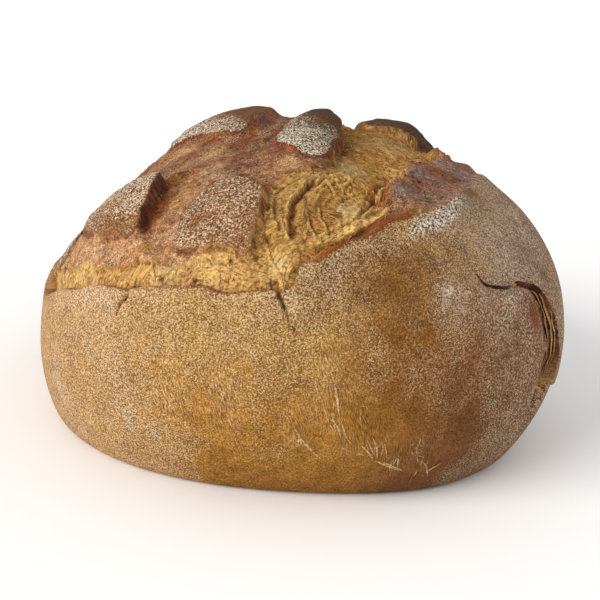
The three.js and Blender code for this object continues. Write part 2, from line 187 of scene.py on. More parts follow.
CRACKS = [
    dict(path=[(-15, -132), (-11, -136), (-10, -140), (-7, -145), (-3, -149), (2, -153)],
         width=1.6, depth=2.4),
    dict(path=[(-84, -112), (-87, -116), (-91, -119), (-93, -121)], width=1.3, depth=2.4),
]
SWELLS = [
    dict(at=(-122, 22), radius=38, height=-6.5), dict(at=(0, 100), radius=48, height=-6),
    dict(at=(-58, 72), radius=24, height=2), dict(at=(100, 42), radius=18, height=-4),
    dict(at=(71, 25), radius=7, height=2.5), dict(at=(178, -68), radius=16, height=-4),
    dict(at=(160, -110), radius=40, height=-1.5), dict(at=(60, 90), radius=30, height=-3),
    dict(at=(50, 26), radius=14, height=1.2),
]

CRUST_FLOUR, SKIN_FLOUR, CORNER_FLOUR = 0.33, 0.12, 0.6
FLOUR_SPOTS = [  # u, v, radius and how much thicker the flour lies
    (75, -113, 3.0, 0.5), (80, -110, 2.5, 0.5), (70, -115, 2.5, 0.35), (74, -118, 3.0, 0.35),
    (72, -122, 2.5, 0.25), (85, -107, 2.5, 0.35), (91, -104, 2.5, 0.25), (79, -120, 8, 0.15),
    (118, -127, 2.5, 0.5), (-105, -164, 6, 0.35), (-92, -176, 4, 0.3), (-120, -100, 14, 0.05),
    (44, -150, 6, 0.15), (98, -66, 18, 0.1), (120, -70, 20, 0.05), (127, -79, 8, -0.3),
    (156, -36, 18, 0.25), (152, -54, 12, 0.12), (-112, -108, 22, 0.08), (40, -122, 18, -0.1),
    (60, -108, 14, -0.08), (84, -38, 9, -0.5), (62, -76, 7, 0.3), (120, -150, 30, -0.06),
    (30, -140, 20, -0.05),
]

# Fine pale creases where the dough was drawn under: half width and path of the larger ones, and the
# places (u, v, radius, number) round which small ones lie.
CREASES = [
    (0.55, [(23, -166), (27, -171), (31, -177), (35, -184)]),
    (0.5, [(5, -191), (12, -197), (21, -202), (31, -206)]), (0.4, [(24, -182), (30, -188), (35, -191)]),
    (0.45, [(30, -185), (37, -189), (42, -194)]), (0.4, [(38, -186), (44, -191), (51, -194)]),
    (0.4, [(43, -197), (52, -197), (66, -195)]), (0.45, [(57, -192), (65, -193), (71, -195)]),
    (0.4, [(59, -188), (64, -190), (71, -193)]), (0.4, [(63, -186), (69, -189), (73, -193)]),
    (0.35, [(73, -185), (78, -188), (81, -190)]), (0.5, [(73, -195), (85, -193), (98, -190)]),
    (0.45, [(80, -193), (90, -191), (103, -188)]), (0.4, [(110, -177), (117, -176), (128, -177)]),
    (0.35, [(122, -177), (124, -172), (127, -166)]), (0.4, [(15, -169), (16, -173), (19, -177)]),
    (0.35, [(20, -168), (24, -172), (26, -176)]),
]
SMALL_CREASES = [
    (31, -180, 13, 20), (8, -192, 9, 8), (48, -186, 12, 12), (66, -186, 10, 12), (90, -184, 12, 10),
    (112, -178, 10, 6), (-40, -178, 13, 8), (-70, -168, 10, 6), (22, -164, 9, 8),
]
CREASE_STEPS = 8
SMALL_CREASE_LENGTHS = (3, 9)
SMALL_CREASE_HALVES = (0.18, 0.34)

# Patches of other colours on the baked skin and on the crumb: u, v, radius, colour and share.
SKIN_PATCHES = [
    (-78, 27, 9, "tan", 0.9), (-61, -1, 9, "tan", 0.8), (-90, 26, 7, "tan", 0.6),
    (-74, -10, 12, "tan", 0.4), (-41, -46, 11, "dark", 0.5), (-14, -56, 8, "tan", 1.0),
    (-26, -66, 7, "tan", 0.5), (-37, 6, 16, "dark", 0.55), (-35, 37, 12, "dark", 0.8),
    (-66, -32, 9, "dark", 0.55), (-72, -61, 7, "dark", 0.5), (-79, -94, 10, "tan", 0.7),
    (-60, -114, 9, "tan", 0.8), (-104, -82, 12, "tan", 0.3), (-50, -56, 8, "dark", 0.4),
    (54, -36, 7, "lilac", 0.9), (46, -66, 6, "lilac", 0.9), (65, -38, 7, "lilac", 0.6),
    (72, 8, 9, "lilac", 0.6), (53, -80, 9, "gold", 0.9), (76, -20, 8, "dark", 0.4),
]
CRUST_PATCHES = [
    (150, -122, 34, "brown", 0.4), (96, -150, 22, "amber", 0.5), (88, -60, 12, "brown", 0.5),
    (95, -78, 30, "grey", 0.6), (82, -40, 9, "brown", 0.8), (78, -114, 10, "grey", 0.6),
    (102, -132, 9, "rust", 0.4), (92, -140, 7, "rust", 0.4), (110, -40, 26, "grey", 0.4),
    (60, -140, 10, "amber", 0.3), (90, -140, 9, "amber", 0.4), (40, -116, 13, "brown", 0.5),
    (60, -106, 13, "brown", 0.5), (76, -95, 13, "brown", 0.4), (18, -128, 9, "brown", 0.4),
    (32, -128, 16, "amber", 0.6), (54, -120, 16, "amber", 0.6), (124, -80, 8, "rust", 0.9),
    (133, -78, 6, "rust", 0.9), (9, -136, 10, "amber", 0.7), (66, -86, 9, "brown", 0.5),
    (78, -56, 9, "brown", 0.6), (98, -14, 14, "brown", 0.5),
]
# On the crumb, the "light" patch at u 18, v -45 is painted light.
CRUMB_PATCHES = [
    (-120, -78, 11, "light", 0.3), (-68, -115, 8, "light", 0.6), (-26, -126, 9, "deep", 0.35),
    (-12, -124, 6, "light", 0.8), (-71, -118, 3, "pink", 0.8), (-56, -121, 5, "pink", 0.7),
    (-40, -127, 5, "pink", 0.5), (-104, -96, 6, "pink", 0.5), (33, 4, 12, "deep", 0.4),
    (51, 39, 13, "deep", 0.35), (18, -88, 4.5, "film", 0.9), (18, -45, 11, "light", 0.4),
    (18, -45, 11, "film", 0.7), (45, 25, 22, "film", 0.4), (-14, -96, 10, "ochre", 0.6),
    (2, -96, 13, "ochre", 0.7), (-18, -112, 9, "warm", 0.5), (36, -62, 7, "orange", 0.8),
    (36, -76, 6, "orange", 0.8), (27, -91, 9, "light", 0.8), (38, -69, 7, "orange", 0.8),
    (2, -56, 6, "rust", 0.9), (9, -49, 5, "rust", 0.8),
]

# ---- Loose fibres of crumb, and flakes in the seam ----

FIBRES = 420
FIBRE_SEED, CREASE_SEED = 11, 5
FIBRE_TRIES = 9000  # places drawn at random over FIBRE_FIELD, of which those on open crumb are used
FIBRE_FIELD = ((-140, 80), (-138, 90))
FIBRE_STEPS, FIBRE_SIDES = 6, 4
FIBRE_RADII = (0.12, 0.26)
FIBRE_LENGTHS = (3, 8)
FIBRE_LIFT = 0.8
FLAKES = [  # where it starts and ends along the seam, how far out, its rise, half its width
    (0.50, 0.88, 0.45, 1.6, 1.69), (0.53, 0.80, 0.95, 0.4, 0.91), (0.66, 0.86, 0.25, 0.9, 1.3),
    (0.60, 0.92, 1.30, 0.3, 0.78), (0.66, 0.91, 0.75, 0.7, 0.91), (0.66, 0.90, 1.65, 0.3, 0.65),
    (0.27, 0.33, 0.50, 0.3, 0.78), (0.60, 0.90, 0.14, 2.8, 0.78), (0.74, 0.91, 0.22, 2.0, 1.04),
    (0.44, 0.55, 1.30, 0.2, 0.65),
]
FLAKE_STEPS = 28
FLAKE_HALF = 0.16  # half a flake's thickness
TUBE_SIDES = 6

# ---- Meshes ----

CUTS = 100
ROW_KNOTS = ((0, 45, 62, 135, 180), (0, 36, 60, 126, 180))  # polar angle on the cube, on the loaf
FRONT_CROWDING = 0.3  # columns are this much closer in front than on average
RELIEF_FADES = (120, 135)  # polar angles between which the relief fades out under the loaf
PULL_REACH = {"crust": 2.4, "top": 1.5, "fold": 0.9}  # points this near an edge are drawn to it
TOP_CELLS = 312
TOP_MIDDLE = (-28, -6)
TOP_MARGIN = 20
TOP_CROWDING = (0.12, 0.28)  # rows and columns are closer at the right and in front
CORE_HEIGHT = 60
HOLLOW_ROUNDS = 5  # heights are compared with those of this many rings of neighbours
FOLD_CELLS = (330, 84)
FOLD_SAMPLES, FOLD_BLUR = 400, 20  # the seam's spine as samples, and how far its heading is evened out

# ---- Camera, placed for a 600 by 600 picture ----

PICTURE_WIDTH = 600
CAMERA_ELEVATION = 20.0
CAMERA_ROLL = 6.43
CAMERA_DISTANCE = 0.8
CAMERA_TARGET = (-0.00226, -0.00155, 0.05717)
FOCAL_PIXELS = 1580.12


# ======== Sums on arrays ========

def lerp(a, b, t):
    return a + (b - a) * t


def smooth(low, high, x):
    t = np.clip((x - low) / (high - low), 0, 1)
    return t * t * (3 - 2 * t)


def falloff(distance, reach):
    return np.exp(-np.maximum(distance, 0) / reach)


def bell(x, width):
    return np.exp(-(x / width) ** 2)


def ring(values, angle):
    """A smooth ring through evenly spaced values, the first at angle 0."""
    half = len(values) // 2
    total = 0
    for k, value in enumerate(values):
        x = angle - 2 * np.pi * k / len(values)
        total = total + value * (1 + np.cos(half * x) + sum(2 * np.cos(j * x) for j in range(1, half)))
    return total / len(values)


def scatter(i, j):
    x = np.sin(i * 127.1 + j * 311.7) * 43758.5453
    return x - np.floor(x)


def noise(x, y):
    """Smooth noise from -1 to 1, the same on every run."""
    i, j = np.floor(x), np.floor(y)
    sx, sy = smooth(0, 1, x - i), smooth(0, 1, y - j)
    near = lerp(scatter(i, j), scatter(i + 1, j), sx)
    far = lerp(scatter(i, j + 1), scatter(i + 1, j + 1), sx)
    return 2 * lerp(near, far, sy) - 1


def strands(across, along, width, length):
    """Ridges that run along one direction and wander a little, from -1 between them to 1."""
    bend = (1.1 * noise(across / (3 * width), along / (0.5 * length))
            + 0.3 * noise(across / width, 4 * along / length))
    return 1 - 2 * np.abs(noise(across / width + bend, along / length)) ** 0.7


# ======== Lines on the chart ========

def line(points, closed):
    """A Catmull-Rom curve through the points."""
    p = np.array(points, float)
    if not closed:
        p = np.vstack([2 * p[0] - p[1], p, 2 * p[-1] - p[-2]])
    steps = []
    for k in range(len(points) if closed else len(points) - 1):
        a, b, c, d = (p[(k + o) % len(p)] for o in ((-1, 0, 1, 2) if closed else (0, 1, 2, 3)))
        for t in np.arange(6) / 6:
            steps.append(0.5 * (2 * b + (c - a) * t + (2 * a - 5 * b + 4 * c - d) * t * t
                                + (3 * b - a - 3 * c + d) * t ** 3))
    return np.array(steps if closed else steps + [p[-2]])


def nearest(u, v, points, closed):
    """Distance to a line, its side (1 is left), the nearest point, and how far along that is."""
    best = np.full(np.shape(u), np.inf)
    side, near_u, near_v, along = (np.zeros(np.shape(u)) for _ in range(4))
    length = 0.0
    for k in range(len(points) if closed else len(points) - 1):
        (au, av), (bu, bv) = points[k], points[(k + 1) % len(points)]
        du, dv = bu - au, bv - av
        run = math.hypot(du, dv)
        t = np.clip(((u - au) * du + (v - av) * dv) / run ** 2, 0, 1)
        eu, ev = u - au - t * du, v - av - t * dv
        distance = eu * eu + ev * ev
        closer = distance < best
        best = np.where(closer, distance, best)
        side = np.where(closer, np.sign(du * ev - dv * eu), side)
        near_u = np.where(closer, au + t * du, near_u)
        near_v = np.where(closer, av + t * dv, near_v)
        along = np.where(closer, length + t * run, along)
        length += run
    return dict(distance=np.sqrt(best), side=side, u=near_u, v=near_v, along=along, length=length)


def is_inside(u, v, points):
    inside = np.zeros(np.shape(u), bool)
    for (au, av), (bu, bv) in zip(points, np.roll(points, -1, 0)):
        if av != bv:
            inside ^= ((av > v) != (bv > v)) & (u < (bu - au) * (v - av) / (bv - av) + au)
    return inside


def lengths_along(points):
    """How far each point of a line is from its start."""
    return np.concatenate([[0], np.cumsum(np.hypot(*np.diff(points, axis=0).T))])


def places_along(points, reach):
    """Places on a line, given how far they are from its start."""
    return np.stack([np.interp(reach, lengths_along(points), points[:, k]) for k in (0, 1)])


def depth_in(u, v, outline):
    """Distance into a closed outline, negative outside it."""
    distance = nearest(u, v, outline, True)["distance"]
    return np.where(is_inside(u, v, outline), distance, -distance)


def depth_in_tile(u, v, corners):
    """Distance into a tile with rounded corners, and the direction that leads in."""
    total, in_u, in_v = 0, 0, 0
    for (au, av), (bu, bv) in zip(corners, corners[1:] + corners[:1]):
        run = math.hypot(bu - au, bv - av)
        nu, nv = (bv - av) / run, -(bu - au) / run
        depth = (u - au) * nu + (v - av) * nv
        weight = np.exp(-np.clip(depth / TILE_ROUNDING, -60, 60))
        total = total + weight
        in_u = in_u + weight * nu
        in_v = in_v + weight * nv
    return -TILE_ROUNDING * np.log(total), in_u / total, in_v / total


def wander(u, v):
    """Torn edges wander: the chart is shifted a little before any outline is read."""
    return (u + 2.6 * noise(u / 17 + 3.1, v / 17 + 7.7) + 0.8 * noise(u / 7 + 1.3, v / 7 + 2.9),
            v + 2.6 * noise(u / 17 + 11.4, v / 17 + 5.2) + 0.8 * noise(u / 7 + 8.1, v / 7 + 4.4))


def seam_wander(u, v):
    return (u + 1.2 * noise(u / 9 + 3.1, v / 9 + 7.7), v + 1.2 * noise(u / 9 + 1.4, v / 9 + 5.2))


tear_edge = line(TEAR_EDGE, True)
skin_outlines = {"band": line(SKIN_BAND, True), "right": line(SKIN_RIGHT, True),
                 "back": line(SKIN_BACK, True)}
terrace_paths = [(line(terrace["path"], False), terrace["drop"]) for terrace in TERRACES]
seam_path = line(SEAM, False)
fold_spine = line(FOLD_SPINE, False)
sheet_paths = [(line(sheet["path"], False), *sheet["edge"], *sheet["hollow"]) for sheet in SHEETS]
crack_paths = [(line(crack["path"], False), crack["width"], crack["depth"]) for crack in CRACKS]


# ======== Relief ========

def pull(distance, reach):
    """How far to move to come nearer an edge, for places within reach of it."""
    share = np.abs(distance) / reach
    return np.where(share < 1, np.sign(distance) * reach * share ** 2 - distance, 0)


def seam_place(u, v):
    """Distance to the left of the seam, the seam's width there, and the nearest place on it."""
    wu, wv = seam_wander(u, v)
    edge = nearest(wu, wv, seam_path, False)
    edge["left_u"] = (wu - edge["u"]) / (edge["distance"] + 1e-6) * edge["side"]
    edge["left_v"] = (wv - edge["v"]) / (edge["distance"] + 1e-6) * edge["side"]
    edge["width"] = np.interp(edge["along"] / edge["length"], *SEAM_WIDTHS)
    edge["width"] = edge["width"] * (1 + 0.35 * noise(edge["along"] / 2.5, 3.5))
    return edge["distance"] * edge["side"], edge


def pulled_to_edges(u, v, reach):
    """Draws mesh points on to the edges of the tear, the seam and the tiles, to make them crisp."""
    wu, wv = wander(u, v)
    edge = nearest(wu, wv, tear_edge, True)
    move = pull(edge["distance"], reach) / (edge["distance"] + 1e-6)
    u = u + (wu - edge["u"]) * move
    v = v + (wv - edge["v"]) * move
    for on_wide_side in (0, 1):
        s, edge = seam_place(u, v)
        move = pull(s - 0.35 + on_wide_side * (edge["width"] + 0.35), min(reach, 1.8))
        u = u + edge["left_u"] * move
        v = v + edge["left_v"] * move
    for tile in TILES:
        depth, in_u, in_v = depth_in_tile(*wander(u, v), tile["corners"])
        move = pull(depth, reach)
        u = u + in_u * move
        v = v + in_v * move
    return u, v


def crumb_relief(u, v, zone, edge, in_tear):
    """Torn fibres: across the front strip, round an arc in the open crumb, along the ear. With them
    come each place's coordinates across and along the fibres."""
    along, inward = edge["along"], in_tear
    arc_u, arc_v = u - ARC_MIDDLE[0], v - ARC_MIDDLE[1]
    radius = np.hypot(arc_u, arc_v)
    turn = np.maximum(radius, 30) * np.arctan2(arc_v, -arc_u)

    flaky = smooth(-80, -62, u + 12 * noise(u / 9, v / 9))
    cross = 0.5 * strands(along, inward, 4.6, 9) + 0.35 * strands(along + 40, inward, 2.3, 6)
    layered = 0.6 * strands(inward, along, 3.2, 12) + 0.5 * strands(inward + 9, along, 1.5, 8)
    cross = lerp(cross, layered, 0.75 * flaky)
    ribs = smooth(0.9, 0.1, np.abs((radius + 1.2 * noise(u / 6, v / 6)) / RIB_SPACING % 1 * 2 - 1))
    curved = (lerp(1.3, 0.5, smooth(50, 85, radius)) * (ribs - 0.5)
              + 0.45 * strands(turn, radius, 2.6, 16) + 0.35 * strands(turn + 31, radius, 1.3, 9))
    eared = 0.6 * strands(inward, along, 2.4, 26) + 0.5 * strands(inward + 17, along, 1.1, 15)
    near_ear = zone["ear"] * smooth(20, 9, in_tear)
    fibres = lerp(lerp(curved, cross, zone["front"]), eared, near_ear)

    calm = 0.2 + 0.8 * smooth(-0.5, 0.5, noise(u / 10 + 4, v / 10 + 8)) * smooth(100, 60, radius)
    calm = lerp(calm, 1, 0.5 * zone["front"])
    tufts = (0.6 * noise(u / 6.5, v / 6.5) + 0.3 * noise(u / 3.2, v / 3.2)
             + 0.2 * noise(u / 1.7, v / 1.7))
    pits = -1.2 * smooth(0.6, 0.85, noise(u / 3.6 + 5, v / 4.4 + 2)) * lerp(0.3, 1, zone["front"])

    in_front = zone["front"] + 0.3 * noise(u / 5 + 8, v / 5) > 0.5
    layers_along = (near_ear + 0.3 * noise(u / 5, v / 5 + 8) > 0.5) | (in_front & (flaky > 0.5))
    across = np.where(layers_along, inward, np.where(in_front, along, turn))
    lengthwise = np.where(layers_along, lerp(1.2, 3, flaky * in_front) * along,
                          np.where(in_front, inward, 1.6 * radius))
    return 0.9 * calm * fibres + tufts + pits, across, lengthwise


def terraced(height, wu, wv):
    """Steps in the torn floor, where layers of crumb came away."""
    for path, drop in terrace_paths:
        edge = nearest(wu, wv, path, False)
        s = -edge["distance"] * edge["side"]
        along, length = edge["along"], edge["length"]
        ends = smooth(0, 10, along) * smooth(length, length - 10, along)
        low, high = -0.6 * falloff(-s, TERRACE_REACH), 0.4 * falloff(s, TERRACE_REACH)
        height = height + drop * ends * lerp(low, high, smooth(-1.3, 0.3, s))
    return height


def sheet_relief(u, v):
    """Thin sheets of crumb, how much painted highlight their crests get and how much painted shade
    the hollows beside them get.
    """
    height, pale, deep = np.zeros_like(u), np.zeros_like(u), np.zeros_like(u)
    wu, wv = u + 0.7 * noise(u / 4, v / 4 + 3), v + 0.7 * noise(u / 4 + 6, v / 4)
    for path, rise, width, depth, reach in sheet_paths:
        edge = nearest(wu, wv, path, False)
        s = edge["distance"] * edge["side"]
        ends = smooth(0, 5, edge["along"]) * smooth(edge["length"], edge["length"] - 5, edge["along"])
        hollow = smooth(0.1, 1.2, s) * smooth(1.8 * reach, 0.3 * reach, s) * ends
        crest = bell(s, width) * ends
        height = height + rise * crest - depth * hollow
        pale = np.maximum(pale, min(1, rise) * crest)
        deep = np.maximum(deep, min(1, depth / 2.4) * hollow)
    return height, pale, deep


def skin_shares(wu, wv, in_tear, front, ripple):
    """How far each part of the torn top is baked skin and not crumb."""
    shares = {name: smooth(-0.7 * soft, 1.1 * soft, depth_in(wu, wv, outline) + soft ** 0.5 * ripple)
              for (name, outline), soft in zip(skin_outlines.items(), SKIN_SOFTNESS)}
    shares["ledge"] = (front * smooth(-40, -56, wu + 2 * ripple)
                       * smooth(-1.0, 1.2, in_tear - STRIP_WIDTH + 1.5 * ripple))
    return shares


def skin_height(u, v, shares, fine):
    """Baked skin: uneven, drawn out in places, rough and pitted."""
    height = 0
    for name in ("band", "back", "right", "ledge"):
        height = lerp(height, -SKIN_DEPTH[name], shares[name])
    drawn = 0.3 * strands(v + 0.3 * u, u, 2.8, 12) * smooth(0, 0.7, noise(u / 12, v / 12 + 5))
    rough = 0.45 * noise(u / 2.6, v / 2.6) + 0.25 * noise(u / 1.2, v / 1.2)
    pits = 0.6 * smooth(0.55, 0.8, noise(u / 2.1 + 7, v / 2.1))
    uneven = 0.9 * noise(u / 15 + 0.4, v / 15 + 9.3) + 0.45 * noise(u / 6, v / 6)
    return height + uneven + fine * (drawn + rough - pits)


def tile_places(tile, wu, wv):
    """Places from the tile's middle: on the chart, and across and along the tile."""
    mid_u, mid_v = np.mean(tile["corners"], 0)
    du, dv = wu - mid_u, wv - mid_v
    (au, av), (bu, bv), *_, (cu, cv), (eu, ev) = tile["corners"]
    turn = math.atan2(bv - av + cv - ev, bu - au + cu - eu)
    aside = du * math.cos(turn) + dv * math.sin(turn)
    ahead = dv * math.cos(turn) - du * math.sin(turn)
    return du, dv, aside, ahead


def tile_relief(u, v, height, in_tear, fine):
    """Raises the tiles out of the torn floor, and says how far their edges lean out and what each
    place is."""
    wu, wv = wander(u, v)
    names = ("lean_u", "lean_v", "tile", "tile_flour", "tone", "burn", "scooped")
    marks = {name: np.zeros_like(u) for name in names}
    for tile in TILES:
        inset, in_u, in_v = depth_in_tile(wu, wv, tile["corners"])
        right = smooth(0.5, 0.95, -(in_u * 0.97 + in_v * 0.26))
        ragged = 0.5 * noise(u / 2.2, v / 2.2) + 0.3 * noise(u / 1.1, v / 1.1)
        inset = inset + fine * (1 - 0.75 * right) * ragged
        du, dv, aside, ahead = tile_places(tile, wu, wv)
        wall = lerp(TILE_EDGE_WALL, tile["wall"], right)
        dome, half_width, half_length = tile["dome"]
        top = (tile["lift"] + tile["lean"][0] * du + tile["lean"][1] * dv
               + dome * (1 - (aside / half_width) ** 2 - (ahead / half_length) ** 2)
               + TILE_CURL * bell(inset - 1.5, 2.2) - 0.6 * noise(u / 9, v / 9 + 4.4)
               + fine * 0.25 * noise(u / 2, v / 2 + 3))

        outside = np.maximum(-inset, 0)
        foot = (1 - right) * falloff(outside, tile["foot"]) * smooth(-1, 1, in_tear)
        height = lerp(height, np.maximum(top - tile["step"], height), foot)
        hollow = right * falloff(outside - wall, SCOOP_REACH) * smooth(0, -1, inset)
        height = height - tile["scoop"] * hollow * (1 + fine * 0.25 * noise(u / 3, v / 4))
        height = lerp(height, np.maximum(top, height), smooth(-wall, 0, inset))
        lean = TILE_OVERHANG * bell(inset - 0.2, 1.5) * smooth(8, 3, wall) * lerp(0.4, 1, right)
        marks["lean_u"] = marks["lean_u"] - lean * in_u
        marks["lean_v"] = marks["lean_v"] - lean * in_v

        top_share = smooth(-0.4, 0.6, inset)
        sifted = tile["flour"] + (tile["sift"][0] * du + tile["sift"][1] * dv) / SIFT_REACH
        side = smooth(-wall - lerp(0.4, 0.8, right), -wall * 0.3, inset + 1.2 * noise(u / 5, v / 5))
        burnt = lerp(0.6, tile["burn"], right) * (0.85 + 0.35 * noise(u / 3, v / 4))
        # tone: the tile's own lighter bake, fading towards its back to the darker bake as painted shade
        # of the up-facing top.
        found = dict(tile=top_share, tile_flour=np.clip(sifted, 0.04, 0.75) * smooth(0.4, 1, top_share),
                     tone=tile["tone"] * (inset > -2) * smooth(40, 5, ahead),
                     burn=side * (1 - top_share) * burnt,
                     scooped=np.clip(tile["scoop"] / 3 * hollow, 0, 1))
        for name, values in found.items():
            marks[name] = np.maximum(marks[name], values)
    return height, marks


def pore_relief(u, v):
    """Depth of the single holes, and how far each place is in one."""
    depth, pore = np.zeros_like(u), np.zeros_like(u)
    for pore_u, pore_v, radius, deep in PORES:
        away = np.hypot(u - pore_u, v - pore_v) + 0.3 * radius * noise(u / radius, v / radius)
        share = bell(away, radius)
        depth = depth + deep * share
        pore = np.maximum(pore, share)
    return depth, pore


def tear_relief(u, v, fine):
    """Height over the plain boule in and round the tear, and what each place is."""
    wu, wv = wander(u, v)
    edge = nearest(wu, wv, tear_edge, True)
    in_tear = np.where(is_inside(wu, wv, tear_edge), 1, -1) * edge["distance"]
    zone = dict(ear=smooth(-6, 18, wu) * smooth(40, -10, wv),
                front=smooth(12, -16, wu) * smooth(0, -50, wv),
                faded=smooth(58, 78, wu) * smooth(-66, -42, wv))
    fibres, across, lengthwise = crumb_relief(u, v, zone, edge, in_tear)
    ripple = 2.2 * noise(u / 8 + 5.5, v / 8 + 1.1)
    ripple = ripple + fine * (1.1 * fibres + 0.8 * noise(u / 2.4, v / 2.4))
    shares = skin_shares(wu, wv, in_tear, zone["front"], ripple)
    skin = np.maximum.reduce(list(shares.values()))

    depth = lerp(TEAR_DEPTH, STRIP_DEPTH, zone["front"])
    depth = lerp(depth, GROOVE_DEPTH, zone["ear"] * smooth(0, 45, wu) * falloff(in_tear, EAR_WIDTH))
    uneven = 1.6 * noise(u / 15 + 0.4, v / 15 + 9.3) * smooth(0, 12, in_tear)
    crumb = terraced(uneven - depth, wu, wv) + fine * fibres * smooth(0, 3, in_tear)
    sheets, pale, deep = sheet_relief(u, v)
    floor = lerp(crumb, skin_height(u, v, shares, fine), skin) + sheets

    raised_ear = zone["ear"] * (1 - zone["faded"])
    lip = lerp(LIP_RISE["plain"], LIP_RISE["ear"], raised_ear) * bell(np.minimum(in_tear, 0), LIP_WIDTH)
    edge_width = lerp(lerp(0.9, 5, zone["ear"]), 7, zone["faded"])
    band = EAR_BAND * raised_ear * (0.6 + 0.8 * noise(edge["along"] / 13, 0.5))
    height = lerp(lip, floor, smooth(-0.3, edge_width, in_tear - band))
    height, marks = tile_relief(u, v, height, in_tear, fine)
    holes, pore = pore_relief(u, v)
    marks.update(zone, in_tear=in_tear, tear=smooth(-0.5, 0.6, in_tear), skin=skin, pore=pore,
                 ledge=shares["ledge"], purple=shares["right"], pale=pale, deep=deep,
                 rind=zone["ear"] * smooth(1, 0.3, zone["faded"]), across=across, lengthwise=lengthwise)
    return height - holes, marks


def crack_relief(u, v):
    """Depth of the cracks, which taper, and how far each place is in one."""
    height, open_share = np.zeros_like(u), np.zeros_like(u)
    wu, wv = u + 1.5 * noise(u / 3, v / 3), v + 1.5 * noise(u / 3 + 5, v / 3 + 2)
    for path, width, depth in crack_paths:
        edge = nearest(wu, wv, path, False)
        taper = lerp(1, 0.3, edge["along"] / edge["length"]) * (1 + 0.5 * noise(edge["along"] / 4, 2.5))
        share = smooth(width * taper, 0.4 * width * taper, edge["distance"])
        height = height - depth * share
        open_share = np.maximum(open_share, share)
    return height, open_share


def swell_relief(u, v):
    return sum(swell["height"] * bell(np.hypot(u - swell["at"][0], v - swell["at"][1]), swell["radius"])
               for swell in SWELLS)


def seam_relief(u, v, fine):
    """The folded seam: dough laid over on its left side, sunk and torn open on its right side."""
    s, edge = seam_place(u, v)
    along, length, width = edge["along"], edge["length"], edge["width"]
    near = (smooth(2, 60, along) * smooth(length - 0.5, length - 5, along)
            * smooth(60, 10, edge["distance"]))
    step = near * (lerp(0.35, 1, smooth(45, 75, along)) + 0.7 * smooth(82, 105, along))
    flap = FLAP_RISE * falloff(s, FLAP_REACH) * step
    sunk = -SUNK_DEPTH * falloff(-s, SUNK_REACH) * step
    ends = smooth(0, 2, along) * smooth(length, length - 2, along) * (edge["distance"] < 12)
    ends = ends * smooth(0.1, 0.7, width)
    groove = smooth(0.45, 0.25, s) * smooth(-width - 0.4, -width + 0.2, s) * ends
    depth = SEAM_DEPTH * np.clip(width / 2.4, 0, 1)
    sheets = smooth(-width - 7, -width - 2, s) * smooth(0.3, -0.2, s) * smooth(52, 66, along) * ends
    layers = strands(s, along, 1.3, 34)
    height = lerp(sunk, flap, smooth(-0.8, 0.25, s)) - depth * groove * smooth(0.2, -0.5, s)
    height = height + fine * (0.55 * layers * sheets + 0.3 * groove * noise(u / 1.8, v / 1.8))
    in_fold = FOLD_HALF - FOLD_MARGIN - nearest(u, v, fold_spine, False)["distance"]
    return height, dict(seam=groove, layers=layers * sheets, sheets=sheets * (1 - groove),
                        in_fold=in_fold)


# ======== The boule ========

def boule(u, v):
    """Points of the plain loaf: a rounded form between a plan and a crown and belly height."""
    polar = np.minimum(np.hypot(u, v) / CHART_SCALE, np.pi - 1e-4)
    compass = np.arctan2(v, u)
    out, up = np.sin(polar), np.cos(polar)
    half = np.where(up > 0, CROWN_RISE, BELLY_DROP)
    total = (out / ring(PLAN_RADII, compass)) ** ROUNDNESS + (np.abs(up) / half) ** ROUNDNESS
    reach = total ** (-1 / ROUNDNESS)
    height = CENTRE_HEIGHT + (ring(GIRTH_HEIGHTS, compass) - CENTRE_HEIGHT) * out + reach * up
    return np.stack([reach * out * np.cos(compass), reach * out * np.sin(compass), height], -1)


def boule_normal(u, v):
    e = 0.5
    right = boule(u + e, v) - boule(u - e, v)
    back = boule(u, v + e) - boule(u, v - e)
    normal = np.cross(right, back)
    return normal / np.linalg.norm(normal, axis=-1, keepdims=True)


def settled(points):
    """The dough settles on the baking stone: what would hang below goes flat."""
    z = points[..., 2]
    soft = np.where(z > SETTLE, z, np.where(z < -SETTLE, 0, (z + SETTLE) ** 2 / (4 * SETTLE)))
    return np.concatenate([points[..., :2], soft[..., None]], -1)


def raised(u, v, fine, sink):
    """Points of the loaf's surface on the chart, and what each place is. sink says how far a place
    is lowered."""
    height, marks = tear_relief(u, v, fine)
    cracks, marks["crack"] = crack_relief(u, v)
    seam, folds = seam_relief(u, v, fine)
    marks.update(folds)
    degrees = np.degrees(np.hypot(u, v) / CHART_SCALE)
    fade = smooth(RELIEF_FADES[1], RELIEF_FADES[0], degrees)
    height = (height + cracks + seam + swell_relief(u, v)) * fade - sink(marks)
    marks.update(u=u, v=v, reach=np.hypot(u, v), height=height)
    u, v = u + marks["lean_u"], v + marks["lean_v"]
    return settled(boule(u, v) + boule_normal(u, v) * height[:, None]), marks


def loaf_chart(directions):
    """Places on the chart for directions out of the loaf's middle."""
    degrees = np.interp(np.degrees(np.arccos(np.clip(directions[:, 2], -1, 1))), *ROW_KNOTS)
    compass = np.arctan2(directions[:, 1], directions[:, 0])
    compass = compass - FRONT_CROWDING * np.sin(compass + np.pi / 2)
    reach = CHART_SCALE * np.radians(degrees)
    return reach * np.cos(compass), reach * np.sin(compass)


def top_chart(x, y):
    """Places on the chart for a square from -1 to 1, which is drawn into the tear's outline."""
    x = x + TOP_CROWDING[0] * (1 - x * x)
    y = y - TOP_CROWDING[1] * (1 - y * y)
    x, y = x * np.sqrt(1 - y * y / 2), y * np.sqrt(1 - x * x / 2)
    around = tear_edge - TOP_MIDDLE
    angles = np.arctan2(around[:, 1], around[:, 0])
    reach = np.interp(np.arctan2(y, x), angles, np.hypot(*around.T), period=2 * np.pi) + TOP_MARGIN
    return TOP_MIDDLE[0] + reach * x, TOP_MIDDLE[1] + reach * y


